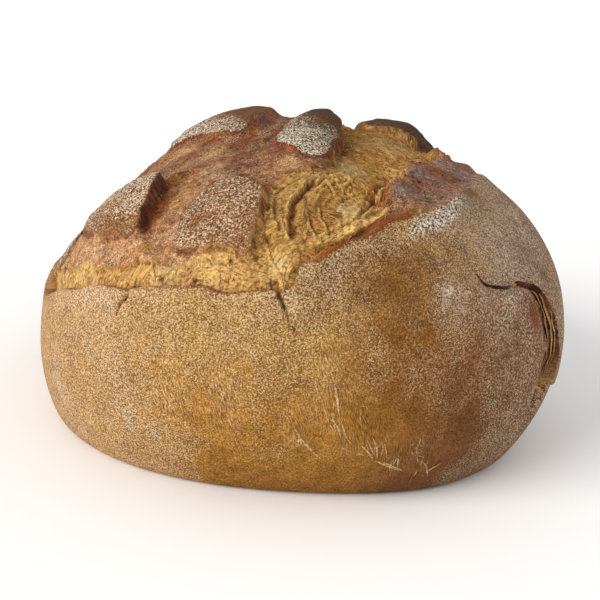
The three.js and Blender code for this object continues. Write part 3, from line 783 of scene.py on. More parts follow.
def fold_chart(x, y):
    """Places on the chart for a square from -1 to 1, laid along the seam's spine and past its ends."""
    length = lengths_along(fold_spine)[-1]
    along = np.linspace(-FOLD_HALF, length + FOLD_HALF, FOLD_SAMPLES)
    past = np.clip(along, None, 0) + np.clip(along - length, 0, None)
    ends = np.where(past[:, None] < 0, fold_spine[1] - fold_spine[0], fold_spine[-1] - fold_spine[-2])
    spine = places_along(fold_spine, along).T
    spine = spine + past[:, None] * ends / np.linalg.norm(ends, axis=1, keepdims=True)
    window = np.ones(2 * FOLD_BLUR + 1) / (2 * FOLD_BLUR + 1)
    ahead = [np.pad(row, FOLD_BLUR, "edge") for row in np.gradient(spine, axis=0).T]
    ahead = np.stack([np.convolve(row, window, "valid") for row in ahead], -1)
    ahead = ahead / np.linalg.norm(ahead, axis=1, keepdims=True)
    place = (x + 1) / 2 * (FOLD_SAMPLES - 1)
    pu, pv, au, av = (np.interp(place, np.arange(FOLD_SAMPLES), row) for row in (*spine.T, *ahead.T))
    return pu - FOLD_HALF * y * av, pv + FOLD_HALF * y * au


# ======== Meshes ========

MARK_KINDS = {1: ("FLOAT", "value"), 3: ("FLOAT_VECTOR", "vector"), 4: ("FLOAT_COLOR", "color")}


def named(name):
    piece = bpy.context.object
    piece.name = name
    piece.data.name = name
    return piece


def read_points(piece):
    co = np.empty(len(piece.data.vertices) * 3)
    piece.data.vertices.foreach_get("co", co)
    return co.reshape(-1, 3)


def fill_points(piece, points):
    piece.data.vertices.foreach_set("co", (points * MM).ravel())
    piece.data.update()


def blurred(piece, values, rounds):
    """Values on a mesh's points, averaged with their neighbours."""
    ends = np.empty(2 * len(piece.data.edges), np.int32)
    piece.data.edges.foreach_get("vertices", ends)
    a, b = ends[::2], ends[1::2]
    count = np.bincount(a, minlength=len(values)) + np.bincount(b, minlength=len(values))
    for _ in range(rounds):
        total = (np.bincount(a, values[b], len(values)) + np.bincount(b, values[a], len(values)))
        values = (values + total / count) / 2
    return values


def let_in_piece(name, cells, chart, reach, sink):
    """A fine grid laid on part of the chart, closed underneath by faces to a point inside the loaf.
    With it come what each place is and how deep it lies under its neighbours."""
    bpy.ops.object.select_all(action="DESELECT")
    bpy.ops.mesh.primitive_grid_add(x_subdivisions=cells[0], y_subdivisions=cells[1], size=2)
    piece = named(name)
    bpy.ops.object.mode_set(mode="EDIT")
    bpy.ops.mesh.select_all(action="DESELECT")
    bpy.ops.mesh.select_non_manifold()
    bpy.ops.mesh.extrude_region_move(TRANSFORM_OT_translate={"value": (0, 0, -1)})
    bpy.ops.mesh.merge(type="CENTER")
    bpy.ops.object.mode_set(mode="OBJECT")
    square = read_points(piece)
    u, v = pulled_to_edges(*chart(square[:, 0], square[:, 1]), reach)
    points, marks = raised(u, v, 1, sink)
    core = square[:, 2] < -0.5
    points[core] = points[~core].mean(0) * (0.5, 0.5, 0) + (0, 0, CORE_HEIGHT)
    fill_points(piece, points - shift)
    return piece, marks, blurred(piece, marks["height"], HOLLOW_ROUNDS) - marks["height"]


def place_piece(piece):
    bpy.ops.object.shade_smooth()
    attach(piece, "root")
    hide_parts("loaf")


def mark(piece, name, *columns):
    """Keeps a number, a vector or a colour with its opacity for each point of the mesh."""
    kind, field = MARK_KINDS[len(columns)]
    layer = piece.data.attributes.new(name, kind, "POINT")
    layer.data.foreach_set(field, np.stack(columns, -1).astype(np.float32).ravel())


def mark_bare(piece, colours):
    """Keeps each point's colour without flour."""
    mark(piece, "bare", *colours.T, np.ones(len(colours)))


def srgb(code):
    """An sRGB hex colour as linear RGB."""
    parts = [int(code[k:k + 2], 16) / 255 for k in (1, 3, 5)]
    return np.array([c / 12.92 if c <= 0.04045 else ((c + 0.055) / 1.055) ** 2.4 for c in parts])


# ======== What the surface is, point by point ========

FRONT_CRUST = "#a97c3a"
LEFT_CRUST = "#b3854f"
# Darker and greyer on the right flank: partly the crust's own colour, partly painted shade of the side
# turned from the key lamp.
SHADED_RIGHT_CRUST = "#7a4e28"
BACK_CRUST = "#855b31"
AMBER_CRUST = "#84531c"
LOW_CRUST = "#a2702d"
# Painted shade towards the foot.
FOOT_CRUST_SHADE = "#7a4712"
RIM_RED = "#6f3012"
RIND_ORANGE = "#94561e"
CRUMB_GOLD = "#a66e25"
STRIP_GOLD = "#d1a35f"
STRIP_PALE = "#ecc27a"
# Pale crumb, and painted highlight on crumb that stands up and on thin threads.
PALE_CRUMB_AND_HIGHLIGHT = "#efc479"
# Painted shade in the hollows of the crumb and the skin and in small holes.
CRUMB_SHADE = "#8e5016"
SKIN_BROWN = "#88471c"
SKIN_PURPLE = "#714a30"
SKIN_GREY = "#7c5d4b"
SKIN_PINK = "#c49468"
SKIN_GOLD = "#c08a3c"
SCOOP_ORANGE = "#744018"
TILE_DARK = "#40291b"
TILE_LIGHT = "#8e5c30"
BURNT = "#46220f"
# Painted shade in the seam's gap.
SEAM_GAP_SHADE = "#3a1c0e"
SEAM_BROWN = "#74482a"
FLAKE_TAN = "#d3a870"
SHEET_RED = "#8f5426"
# Painted shade in the hollows beside the sheets of crumb.
SHEET_HOLLOW_SHADE = "#7a4318"
FLAKE_BROWN = "#8a5c38"
# Painted shade inside the cracks.
CRACK_SHADE = "#66522f"
# Painted shade in the single pores.
PORE_SHADE = "#6a3515"
CREASE_PALE = "#d9b584"
FLOUR_CREAM = "#e3d0b0"
FLOUR_WHITE = "#e2dacd"
PATCH_COLOURS = {
    "rust": "#7c4524", "tan": "#c0905e", "dark": "#5e3822", "lilac": "#7e6760", "gold": "#96642c",
    "light": "#f0cf8c", "deep": "#8a551c", "pink": "#b98457", "film": "#a3976a", "warm": "#c08430",
    "ochre": "#94652a", "orange": "#9a5418", "brown": "#684222", "amber": "#7a4e1c", "grey": "#99836f",
}


def all_of(code, points):
    """One colour for as many points."""
    return np.tile(srgb(code), (len(points), 1))


def blend(colours, code, share):
    return colours + (srgb(code) - colours) * np.clip(share, 0, 1)[:, None]


def spot(m, u, v, radius):
    return bell(np.hypot(m["u"] - u, m["v"] - v), radius)


def patched(colours, m, patches):
    """Baked patches with ragged outlines."""
    ragged = 0.4 * noise(m["u"] / 5, m["v"] / 5)
    for patch_u, patch_v, radius, name, share in patches:
        away = np.hypot(m["u"] - patch_u, m["v"] - patch_v) + ragged * radius
        colours = blend(colours, PATCH_COLOURS[name], share * bell(away, radius))
    return colours


def floury_corner(m):
    """Where flour lies thick and dark crust shows between, beside the ear."""
    across = bell(m["in_tear"] + 4 + 2 * noise(m["u"] / 4, m["v"] / 4), 5)
    return across * smooth(46, 54, m["u"]) * smooth(80, 72, m["u"]) * (m["v"] < 0)


def torn_patches(m):
    """Slow patches with finer ones in them, for the uneven bake of torn crumb and skin."""
    return noise(m["u"] / 14 + 2, m["v"] / 14 + 6) + 0.5 * noise(m["u"] / 5, m["v"] / 5 + 3)


def crust_colours(m):
    """The crust's bake, with painted shade at the foot and partly on the right flank, its edges,
    its cracks and the gap of the seam painted dark as shade, and the seam's layers.
    """
    u, v, reach = m["u"], m["v"], m["reach"]
    patches = noise(u / 30 + 2, v / 30 + 6) + 0.5 * noise(u / 12, v / 12 + 3)
    colours = all_of(FRONT_CRUST, u)
    colours = blend(colours, LEFT_CRUST, smooth(-40, -120, u + 10 * patches))
    low_front = smooth(150, 190, reach) * smooth(20, -60, v) * smooth(-120, -60, u)
    colours = blend(colours, LOW_CRUST, low_front)
    colours = blend(colours, BACK_CRUST, smooth(-20, 60, v))
    colours = blend(colours, SHADED_RIGHT_CRUST, smooth(60, 105, u + 12 * patches))
    amber = 0.85 * spot(m, 66, -152, 36) + 0.2 * patches * spot(m, 60, -150, 60)
    colours = blend(colours, AMBER_CRUST, amber)
    colours = patched(colours, m, CRUST_PATCHES)
    # Painted shade towards the foot of the loaf.
    foot = smooth(204, 232, reach + 5 * patches) * np.maximum(smooth(-100, -20, u), smooth(-40, 40, v))
    colours = blend(colours, FOOT_CRUST_SHADE, 0.3 * foot)

    colours = blend(colours, RIM_RED, 0.6 * bell(m["in_tear"] - 0.2, 1.2) * smooth(1, 0.4, m["faded"]))
    colours = blend(colours, TILE_DARK, 0.6 * floury_corner(m))
    front_lip = smooth(-8, -30, u) * m["front"] * smooth(-5, -1, m["in_tear"])
    colours = blend(colours, SKIN_PINK, front_lip * (0.4 + 0.5 * patches))
    # Painted shade inside the cracks.
    colours = blend(colours, CRACK_SHADE, 0.9 * smooth(0.35, 0.8, m["crack"]))

    colours = blend(colours, SHEET_RED, 0.8 * spot(m, 132, -70, 6) * (m["in_fold"] > 0))
    colours = blend(colours, FLAKE_BROWN, 0.5 * m["sheets"])
    colours = blend(colours, FLAKE_TAN, 0.9 * smooth(0.1, 0.6, m["layers"]))
    # The seam's gap is painted dark as painted shade in the crevice, browner in patches and towards the
    # right end, tan where flakes show.
    dark = blend(all_of(SEAM_GAP_SHADE, u), SEAM_BROWN, noise(u / 4, v / 4) + 0.7 * smooth(125, 140, u))
    dark = blend(dark, FLAKE_TAN, (0.5 + 0.4 * patches) * smooth(155, 172, u))
    return lerp(colours, dark, smooth(0.1, 0.6, m["seam"])[:, None])


def crumb_colours(m, hollow):
    """Torn crumb, with painted highlight where it stands up and painted shade in the hollows, and the
    red-brown edge of crust above it."""
    u, v, patches = m["u"], m["v"], torn_patches(m)
    colours = all_of(CRUMB_GOLD, u)
    colours = blend(colours, STRIP_GOLD, m["front"])
    pale_strip = m["front"] * smooth(-85, -60, u + 10 * patches) * smooth(-30, -50, u)
    colours = blend(colours, STRIP_PALE, 0.6 * pale_strip)
    colours = blend(colours, SKIN_PINK, m["front"] * smooth(0.1, 0.7, patches) * 0.8)
    # Painted highlight where the crumb stands up, with paler patches, and painted shade in its hollows.
    colours = blend(colours, PALE_CRUMB_AND_HIGHLIGHT, 0.6 * smooth(0.02, -0.4, hollow) + 0.12 * patches)
    colours = blend(colours, CRUMB_SHADE, 0.95 * smooth(0.0, 0.8, hollow))
    colours = patched(colours, m, CRUMB_PATCHES)

    layer = m["in_tear"] - 1.2 * noise(u / 6, v / 6)
    colours = blend(colours, PALE_CRUMB_AND_HIGHLIGHT, 0.85 * m["rind"] * bell(layer - 12.5, 3))
    colours = blend(colours, RIND_ORANGE, 0.9 * m["rind"] * smooth(11, 8.5, layer))
    colours = blend(colours, RIM_RED, (0.6 + 0.4 * patches) * m["rind"] * smooth(9, 7.5, layer))
    # A dark line along the band's inner foot: partly burnt crust, partly painted shade of the groove
    # under the ear.
    colours = blend(colours, BURNT, 0.85 * m["rind"] * bell(layer - 7, 1.3) * smooth(4, 18, u))
    brim = smooth(1.4, 0.4, m["in_tear"]) * smooth(1, 0.4, m["faded"])
    return blend(colours, RIM_RED, brim * (0.75 + 0.5 * patches))


def skin_colours(m, hollow):
    """Baked skin: red-brown, with pale, dark and greyish patches, golden streaks, and painted shade in
    the hollows.
    """
    patches = torn_patches(m)
    colours = all_of(SKIN_BROWN, patches)
    colours = blend(colours, SKIN_PURPLE, 0.2 + 0.4 * patches + 0.7 * spot(m, -28, 40, 20))
    colours = blend(colours, SKIN_PINK, m["ledge"] * (0.75 + 0.3 * patches))
    golden = smooth(0.35, 0.9, baked_streaks(m)) * (1 - 0.6 * m["purple"])
    colours = blend(colours, SKIN_GOLD, 0.6 * golden)
    colours = blend(colours, SKIN_GREY, m["purple"] * (0.35 + 0.6 * patches))
    colours = patched(colours, m, SKIN_PATCHES)
    # Painted shade in the skin's hollows.
    return blend(colours, CRUMB_SHADE, 0.5 * smooth(0.1, 0.8, hollow))


def baked_streaks(m):
    """Short streaks in the baked skin, drawn from front to back."""
    u, v = m["u"], m["v"]
    return noise(u / 4 + 0.1 * v, v / 6) + 0.6 * noise(u / 2 + 0.2 * v, v / 3)


def torn_colours(m, hollow):
    """Crumb and skin with painted shade in the hollows beside the sheets and painted highlight on
    their crests, the scooped and burnt sides of the tiles, single pores painted dark as shade, and
    the tiles, lighter in front and darker towards the back as painted shade.
    """
    colours = lerp(crumb_colours(m, hollow), skin_colours(m, hollow), m["skin"][:, None])
    # Painted shade in the hollows beside the sheets of crumb, painted highlight on their crests.
    colours = blend(colours, SHEET_HOLLOW_SHADE, 0.85 * m["deep"] * smooth(1, 0.6, m["tile"]))
    colours = blend(colours, PALE_CRUMB_AND_HIGHLIGHT, 0.7 * m["pale"] * (1 - 0.8 * m["skin"]))
    colours = blend(colours, SCOOP_ORANGE, 1.2 * m["scooped"])
    colours = blend(colours, SKIN_GOLD, 0.6 * m["scooped"] * smooth(0.1, 0.7, baked_streaks(m)))
    colours = blend(colours, RIM_RED, 1.3 * m["burn"])
    colours = blend(colours, BURNT, 1.6 * m["burn"] - 0.6)
    # Painted shade in the single pores.
    colours = blend(colours, PORE_SHADE, 0.9 * smooth(0.3, 0.8, m["pore"]))
    # Tiles: lighter bake in front, darker towards the back as painted shade.
    baked = blend(all_of(TILE_DARK, colours), TILE_LIGHT, m["tone"] + 0.1 * torn_patches(m))
    return lerp(colours, baked, m["tile"][:, None])


def crust_flour(m):
    """Flour on the crust: thinner low in front and in the amber hollow at the right."""
    u, v, reach = m["u"], m["v"], m["reach"]
    flour = CRUST_FLOUR + 0.14 * noise(u / 26 + 9, v / 26) + 0.1 * noise(u / 9 + 1, v / 9 + 4)
    flour = flour - 0.04 * smooth(-60, -120, u) + 0.1 * smooth(-135, -155, u)
    flour = flour - 0.1 * smooth(80, 115, u) * smooth(90, 0, v)
    flour = flour + 0.05 * smooth(-50, -100, u) * smooth(135, 165, reach)
    flour = flour - 0.19 * spot(m, 64, -150, 36)
    in_front = smooth(-110, -40, u) * smooth(150, 90, u) * smooth(70, -40, v)
    flour = flour - in_front * (0.2 * smooth(165, 195, reach) + 0.25 * smooth(200, 222, reach))
    for spot_u, spot_v, radius, amount in FLOUR_SPOTS:
        flour = flour + amount * spot(m, spot_u, spot_v, radius)
    flour = lerp(flour, CORNER_FLOUR, floury_corner(m)) + 0.1 * bell(m["in_tear"] + 4, 5)
    return np.clip(flour, 0, 1) * (1 - m["seam"]) * (1 - m["crack"]) * (1 - 0.6 * m["sheets"])


def torn_flour(m):
    """A little flour on the baked skin, more on the tiles, none where crumb is torn open."""
    u, v = m["u"], m["v"]
    dusted = SKIN_FLOUR + 0.15 * noise(u / 8, v / 8 + 2) + 0.1 * noise(u / 3, v / 3)
    dusted = dusted * m["skin"] * (1 - m["burn"]) * (1 - m["scooped"])
    drifts = 0.12 * noise(u / 9, v / 9 + 7) * (m["tile_flour"] > 0.05)
    return np.where(m["tile"] > 0, m["tile_flour"], dusted) + drifts


def caked_flour(m, flour):
    """Where flour is caked into coarse grains: on tiles, in the corner by the ear, at the right."""
    on_tiles = m["tear"] * m["tile"] * smooth(-0.1, 0.25, m["tile_flour"])
    on_right = smooth(65, 120, m["u"] + 20 * noise(m["u"] / 30, m["v"] / 30))
    on_right = on_right * smooth(-155, -95, m["v"]) * smooth(90, 0, m["v"])
    thick = smooth(0.62, 0.8, flour)
    return np.maximum.reduce([on_tiles, floury_corner(m), 0.8 * thick, 0.65 * on_right])


def dress(piece, m, colours, flour):
    """Keeps on the mesh's points what the material reads."""
    untiled = m["tear"] * (1 - m["tile"])
    compass = np.arctan2(m["u"], -m["v"])
    mark_bare(piece, colours)
    mark(piece, "flour", flour)
    mark(piece, "cake", caked_flour(m, flour))
    mark(piece, "gloss", untiled * m["skin"])
    rind = m["rind"] * smooth(11, 9, m["in_tear"])
    mark(piece, "crumb", untiled * (1 - m["skin"]) * (1 - 0.8 * rind))
    near_creases = [spot(m, u, v, 1.2 * radius) for u, v, radius, _ in SMALL_CREASES]
    mark(piece, "drawn", np.maximum.reduce(near_creases))
    mark(piece, "around", 180 * compass - 0.5 * m["reach"], m["reach"], 0 * compass)
    mark(piece, "fibre", m["across"], m["lengthwise"], 0 * compass)


# ---- The loaf's crust ----

def under_let_in_pieces(m):
    """How far the crust is lowered where the torn top and the folded seam lie over it."""
    under_top = DIP * smooth(-16, -9, m["in_tear"]) + LAP * smooth(-9, 0, m["in_tear"])
    under_fold = DIP * smooth(-1.5, 5, m["in_fold"]) + FOLD_LAP * smooth(4, 11, m["in_fold"])
    return under_top + under_fold


bpy.ops.object.select_all(action="DESELECT")
bpy.ops.mesh.primitive_cube_add(size=2)
loaf = named("rye_loaf_crust")
bpy.ops.object.mode_set(mode="EDIT")
bpy.ops.mesh.select_all(action="SELECT")
bpy.ops.mesh.subdivide(number_cuts=CUTS)
bpy.ops.object.mode_set(mode="OBJECT")
spread = np.tan(read_points(loaf) * np.pi / 4)  # evens out the faces when the cube goes round
u, v = loaf_chart(spread / np.linalg.norm(spread, axis=1, keepdims=True))
u, v = pulled_to_edges(u, v, PULL_REACH["crust"])
points, marks = raised(u, v, 0, under_let_in_pieces)
shift = (points.min(0) + points.max(0)) / 2 * (1, 1, 0)  # brings the loaf's middle over the origin
fill_points(loaf, points - shift)
dress(loaf, marks, crust_colours(marks), crust_flour(marks))
place_piece(loaf)

# ---- The torn top and the folded seam, let into the crust ----

top, marks, hollow = let_in_piece("torn_top", (TOP_CELLS, TOP_CELLS), top_chart, PULL_REACH["top"],
                                  lambda m: DIP * smooth(-14, -19, m["in_tear"]))
inside = marks["tear"][:, None]
dress(top, marks, lerp(crust_colours(marks), torn_colours(marks, hollow), inside),
      lerp(crust_flour(marks), torn_flour(marks), marks["tear"]))
place_piece(top)

fold, marks, _ = let_in_piece("folded_seam", FOLD_CELLS, fold_chart, PULL_REACH["fold"],
                              lambda m: DIP * smooth(0.5, -6, m["in_fold"]))
dress(fold, marks, crust_colours(marks), crust_flour(marks))
place_piece(fold)

# ---- Loose fibres and flakes, each a thin closed tube ----

def tubes(name, centres, ups, half_widths, half_heights, sides):
    """One mesh of many tubes. centres and ups are tube by step by axis, the halves tube by step."""
    count, steps, _ = centres.shape
    ahead = np.gradient(centres, axis=1)
    across = np.cross(ahead, ups)
    across = across / np.linalg.norm(across, axis=-1, keepdims=True)
    turn = 2 * np.pi * np.arange(sides) / sides
    aside, above = half_widths[..., None] * np.cos(turn), half_heights[..., None] * np.sin(turn)
    points = (centres[:, :, None] + across[:, :, None] * aside[..., None]
              + ups[:, :, None] * above[..., None])
    ring_starts = np.arange(count * steps).reshape(count, steps) * sides
    faces = []
    for k in range(sides):
        a, b = ring_starts[:, :-1].ravel() + k, ring_starts[:, :-1].ravel() + (k + 1) % sides
        faces += np.stack([a, a + sides, b + sides, b], -1).tolist()
    faces += [[int(start) + k for k in range(sides)] for start in ring_starts[:, 0]]
    faces += [[int(start) + k for k in reversed(range(sides))] for start in ring_starts[:, -1]]
    mesh = bpy.data.meshes.new(name)
    mesh.from_pydata(((points.reshape(-1, 3) - shift) * MM).tolist(), [], faces)
    piece = bpy.data.objects.new(name, mesh)
    bpy.context.scene.collection.objects.link(piece)
    bpy.ops.object.select_all(action="DESELECT")
    piece.select_set(True)
    bpy.context.view_layer.objects.active = piece
    bpy.ops.object.mode_set(mode="EDIT")
    bpy.ops.mesh.select_all(action="SELECT")
    bpy.ops.mesh.normals_make_consistent(inside=False)
    bpy.ops.object.mode_set(mode="OBJECT")
    place_piece(piece)
    return piece


def on_surface(u, v, fine, lift):
    """Points lifted off the loaf's surface, for arrays of any shape."""
    flat, _ = raised(u.ravel(), v.ravel(), fine, lambda m: -lift.ravel())
    return flat.reshape(*u.shape, 3), boule_normal(u, v)


def crumb_share(u, v):
    m = tear_relief(u, v, 1)[1]
    return m["tear"] * (1 - m["skin"]) * (1 - m["tile"]) * (1 - m["burn"]), m


def make_fibres():
    """Torn fibres bridge the hollows of the crumb, most of them along the pull of the dough."""
    draw = np.random.default_rng(FIBRE_SEED)
    u, v = (draw.uniform(*field, FIBRE_TRIES) for field in FIBRE_FIELD)
    share, m = crumb_share(u, v)
    keep = np.flatnonzero((share > 0.75) & (m["in_tear"] > 1))[:FIBRES]
    u, v, m = u[keep], v[keep], {key: values[keep] for key, values in m.items()}
    step = 0.5
    slope_u = tear_relief(u + step, v, 0)[1]["in_tear"] - tear_relief(u - step, v, 0)[1]["in_tear"]
    slope_v = tear_relief(u, v + step, 0)[1]["in_tear"] - tear_relief(u, v - step, 0)[1]["in_tear"]
    inward = np.arctan2(slope_v, slope_u)
    arc = np.arctan2(v - ARC_MIDDLE[1], u - ARC_MIDDLE[0]) + (draw.random(len(u)) < 0.35) * np.pi / 2
    near_ear = m["ear"] * smooth(20, 9, m["in_tear"]) > 0.5
    heading = np.where(m["front"] > 0.5, inward, np.where(near_ear, inward + np.pi / 2, arc))
    heading = heading + draw.normal(0, 0.35, len(u))
    length = draw.uniform(*FIBRE_LENGTHS, len(u)) * np.where(m["front"] > 0.5, 0.7, 1)
    bend = draw.normal(0, 0.5, len(u))
    t = np.linspace(0, 1, FIBRE_STEPS + 1)
    angle = heading[:, None] + bend[:, None] * (t - 0.5)
    fu = u[:, None] + length[:, None] * (t - 0.5) * np.cos(angle)
    fv = v[:, None] + length[:, None] * (t - 0.5) * np.sin(angle)
    arch = np.sin(np.pi * t)
    lift = draw.uniform(0.2, 1, len(u))[:, None] * FIBRE_LIFT * arch - 0.25
    centres, ups = on_surface(fu, fv, 1, lift)
    radius = draw.uniform(*FIBRE_RADII, len(u))[:, None] * (0.25 + 0.75 * arch)
    fibres = tubes("torn_fibres", centres, ups, radius, radius, FIBRE_SIDES)
    tone = np.repeat(draw.random(len(u)), (FIBRE_STEPS + 1) * FIBRE_SIDES)
    mark_bare(fibres, blend(all_of(CRUMB_GOLD, tone), PALE_CRUMB_AND_HIGHLIGHT, 0.1 + 0.8 * tone))
    return fibres


def make_flakes():
    """Thin layers of dried dough stand in the seam, each a flat tapered strip."""
    t = np.linspace(0, 1, FLAKE_STEPS)
    start, end, out, rise, half_width = np.array(FLAKES).T[:, :, None]
    share = start + (end - start) * t
    along = share * lengths_along(seam_path)[-1]
    pu, pv = places_along(seam_path, along)
    ahead_u, ahead_v = np.gradient(pu, axis=1), np.gradient(pv, axis=1)
    run = np.hypot(ahead_u, ahead_v)
    drift = 0.35 * noise(along / 6, out * 9)
    offset = (out + drift) * np.interp(share, *SEAM_WIDTHS) + 0.3
    u, v = pu + offset * ahead_v / run, pv - offset * ahead_u / run
    wu, wv = seam_wander(u, v)
    u, v = 2 * u - wu, 2 * v - wv
    base = seam_relief(u, v, 0)[0]
    brim = seam_relief(pu + 10 * ahead_v / run, pv - 10 * ahead_u / run, 0)[0]
    lift = brim - base + rise + 0.4 * noise(along / 4, out * 5)
    centres, ups = on_surface(u, v, 0, lift)
    taper = np.sin(np.pi * t) ** 0.7 + 0.03
    half_height = np.full(along.shape, FLAKE_HALF)
    flakes = tubes("seam_flakes", centres, ups, half_width * taper, half_height, TUBE_SIDES)
    tone = np.repeat((0.7 + 0.6 * noise(along / 9, out * 7)).ravel(), TUBE_SIDES)
    mark_bare(flakes, blend(all_of(FLAKE_BROWN, tone), FLAKE_TAN, tone))
    return flakes


def make_creases():
    """Raised creases on the lower crust, each a thin tube half sunk in it."""
    draw = np.random.default_rng(CREASE_SEED)
    t = np.linspace(0, 1, CREASE_STEPS)
    paths, halves = [], []
    for half, path in CREASES:
        smooth_path = line(path, False)
        paths.append(places_along(smooth_path, t * lengths_along(smooth_path)[-1]))
        halves.append(half)
    for u, v, radius, count in SMALL_CREASES:
        for _ in range(count):
            start_u, start_v = u + draw.normal(0, radius / 2), v + draw.normal(0, radius / 2)
            heading = np.arctan2(start_v, start_u) + draw.normal(0.5, 0.35) + draw.normal(0, 0.4) * t
            reach = draw.uniform(*SMALL_CREASE_LENGTHS) * t
            paths.append([start_u + reach * np.cos(heading), start_v + reach * np.sin(heading)])
            halves.append(draw.uniform(*SMALL_CREASE_HALVES))
    u, v = np.array(paths).transpose(1, 0, 2)
    arch = np.sin(np.pi * t) ** 0.6
    centres, ups = on_surface(u, v, 0, 0 * u)
    width = np.array(halves)[:, None] * (0.15 + 0.85 * arch)
    creases = tubes("crust_creases", centres, ups, width, 0.8 * width, TUBE_SIDES)
    pale = np.array(halves)[:, None] * 2.2 * (0.7 + 0.5 * noise(u / 3, v / 3))
    base = crust_colours(raised(u.ravel(), v.ravel(), 0, lambda m: 0)[1])
    mark_bare(creases, np.repeat(blend(base, CREASE_PALE, pale.ravel()), TUBE_SIDES, axis=0))
    return creases


fibres = make_fibres()
flakes = make_flakes()
creases = make_creases()

# ======== Materials ========

# Patterns: waves per millimetre, detail and distortion. Single grains of rye flour are under 0.2 mm
# and wouldn't show, so flour is drawn as the clumps of 0.6 to 1 mm that it forms on a damp crust.
PATTERNS = {
    "grain": (1.35, 3, 0.6),  # grit and flour on the crust, 0.7 mm
    "clump": (1.0, 3, 0.7),  # clumps of caked flour, 1 mm
    "speck": (1.6, 0, 0),  # single pale specks, 0.6 mm
    "grit": (1.4, 1, 0),  # roughness of the baked surface, 0.7 mm
    "hole": (0.5, 1, 0),  # small holes in the crumb, 1 to 2 mm
    "tuft": (0.45, 3, 0),  # tufts of torn crumb, 2 mm
    "blotch": (0.35, 4, 0),  # where the bake took more or less, 3 mm
    "drift": (0.13, 3, 0),  # drifts of flour, 8 mm
    "bake": (0.12, 4, 0),  # slow change of the bake, 8 mm
}
DRAWN_OUT = {  # patterns that follow the dough: waves per millimetre each way, detail and distortion
    "around": ((1.2, 0.4, 1), 4, 0.5),  # grain of the crust where the dough was drawn under
    "fibre": ((1.1, 0.12, 1), 3, 0.3),  # fibres of crumb, across and along
}
CRUST_ROUGHNESS, GLOSSY_ROUGHNESS = 0.88, 0.58
SPECULAR_LEVEL = 0.2  # dry, open-pored surfaces reflect less than smooth ones
BUMP_HEIGHT = 1 * MM


def add(tree, kind, sockets=None, output=0, **settings):
    """Adds a node with its settings and gives back one output. A socket is given a value, or another
    node's output to link."""
    node = tree.nodes.new("ShaderNode" + kind)
    for name, value in settings.items():
        setattr(node, name, value)
    for key, value in (sockets or {}).items():
        if isinstance(value, bpy.types.NodeSocket):
            tree.links.new(value, node.inputs[key])
        else:
            node.inputs[key].default_value = value
    return node.outputs[output]


def new_material(name, roughness):
    material = bpy.data.materials.new(name)
    material.use_nodes = True
    surface = material.node_tree.nodes["Principled BSDF"]
    surface.inputs["Roughness"].default_value = roughness
    surface.inputs["Specular IOR Level"].default_value = SPECULAR_LEVEL
    return material, material.node_tree, surface


def bread_patterns(node):
    """The patterns by name, some across the whole loaf and some along the dough."""
    place = node("TexCoord", output="Object")
    place = node("VectorMath", {0: place, "Scale": 1 / MM}, operation="SCALE")
    waves = {}
    for name, (scale, detail, distortion) in PATTERNS.items():
        waves[name] = node("TexNoise", {"Vector": place, "Scale": scale, "Detail": detail,
                                        "Distortion": distortion})
    for name, (scales, detail, distortion) in DRAWN_OUT.items():
        along = node("Attribute", output="Vector", attribute_name=name)
        along = node("Mapping", {0: along, 3: scales})
        waves[name] = node("TexNoise", {"Vector": along, "Scale": 1, "Detail": detail,
                                        "Distortion": distortion})
    return waves


def flour_dust(node, kept, waves, grains):
    """Flour between and on the grains, thicker in drifts and where it is caked, and single specks."""
    contrast = node("Math", {0: kept["cake"], 1: 8, 2: 10}, operation="MULTIPLY_ADD")
    dust = node("Math", {0: grains, 1: 0.5}, operation="SUBTRACT")
    dust = node("Math", {0: dust, 1: contrast}, operation="MULTIPLY")
    drifts = node("Math", {0: waves["drift"], 1: 0.8, 2: -0.4}, operation="MULTIPLY_ADD")
    dust = node("Math", {0: dust, 1: drifts}, operation="ADD")
    level = node("Math", {0: kept["flour"], 1: 1.6, 2: -0.55}, operation="MULTIPLY_ADD")
    dust = node("Math", {0: dust, 1: level}, operation="ADD")
    dust = node("MapRange", {0: dust, 1: -0.3, 2: 1.5}, interpolation_type="SMOOTHSTEP")
    floured = node("MapRange", {0: kept["flour"], 1: 0, 2: 0.15}, interpolation_type="SMOOTHSTEP")
    dust = node("Math", {0: dust, 1: floured}, operation="MULTIPLY")

    specks = node("MapRange", {0: waves["speck"], 1: 0.64, 2: 0.72}, interpolation_type="SMOOTHSTEP")
    floured = node("MapRange", {0: kept["flour"], 1: 0.02, 2: 0.25}, interpolation_type="SMOOTHSTEP")
    specks = node("Math", {0: specks, 1: floured}, operation="MULTIPLY")
    return node("Math", {0: dust, 1: specks}, operation="MAXIMUM"), specks


def baked_crust(node, kept, waves, grains):
    """The bake is darker in the pits between grains and lighter on them, as painted shade and
    highlight, blotched, and redder where it is darker.
    """
    tone = node("Math", {0: waves["bake"], 1: 0.5}, operation="ADD")
    pits = node("MapRange", {0: grains, 1: 0.32, 2: 0.68, 3: 0.45, 4: 1.5},
                interpolation_type="SMOOTHSTEP")
    tone = node("Math", {0: tone, 1: pits}, operation="MULTIPLY")
    contrast = node("Math", {0: kept["gloss"], 1: 1.9, 2: 0.8}, operation="MULTIPLY_ADD")
    blotches = node("Math", {0: waves["blotch"], 1: 0.5}, operation="SUBTRACT")
    blotches = node("Math", {0: blotches, 1: contrast, 2: 1}, operation="MULTIPLY_ADD")
    tone = node("Math", {0: tone, 1: blotches}, operation="MULTIPLY")
    red = node("Math", {0: tone, 1: 0.9}, operation="POWER")
    blue = node("Math", {0: tone, 1: 1.25}, operation="POWER")
    tint = node("CombineXYZ", {0: red, 1: tone, 2: blue})
    return node("VectorMath", {0: kept["bare"], 1: tint}, operation="MULTIPLY")


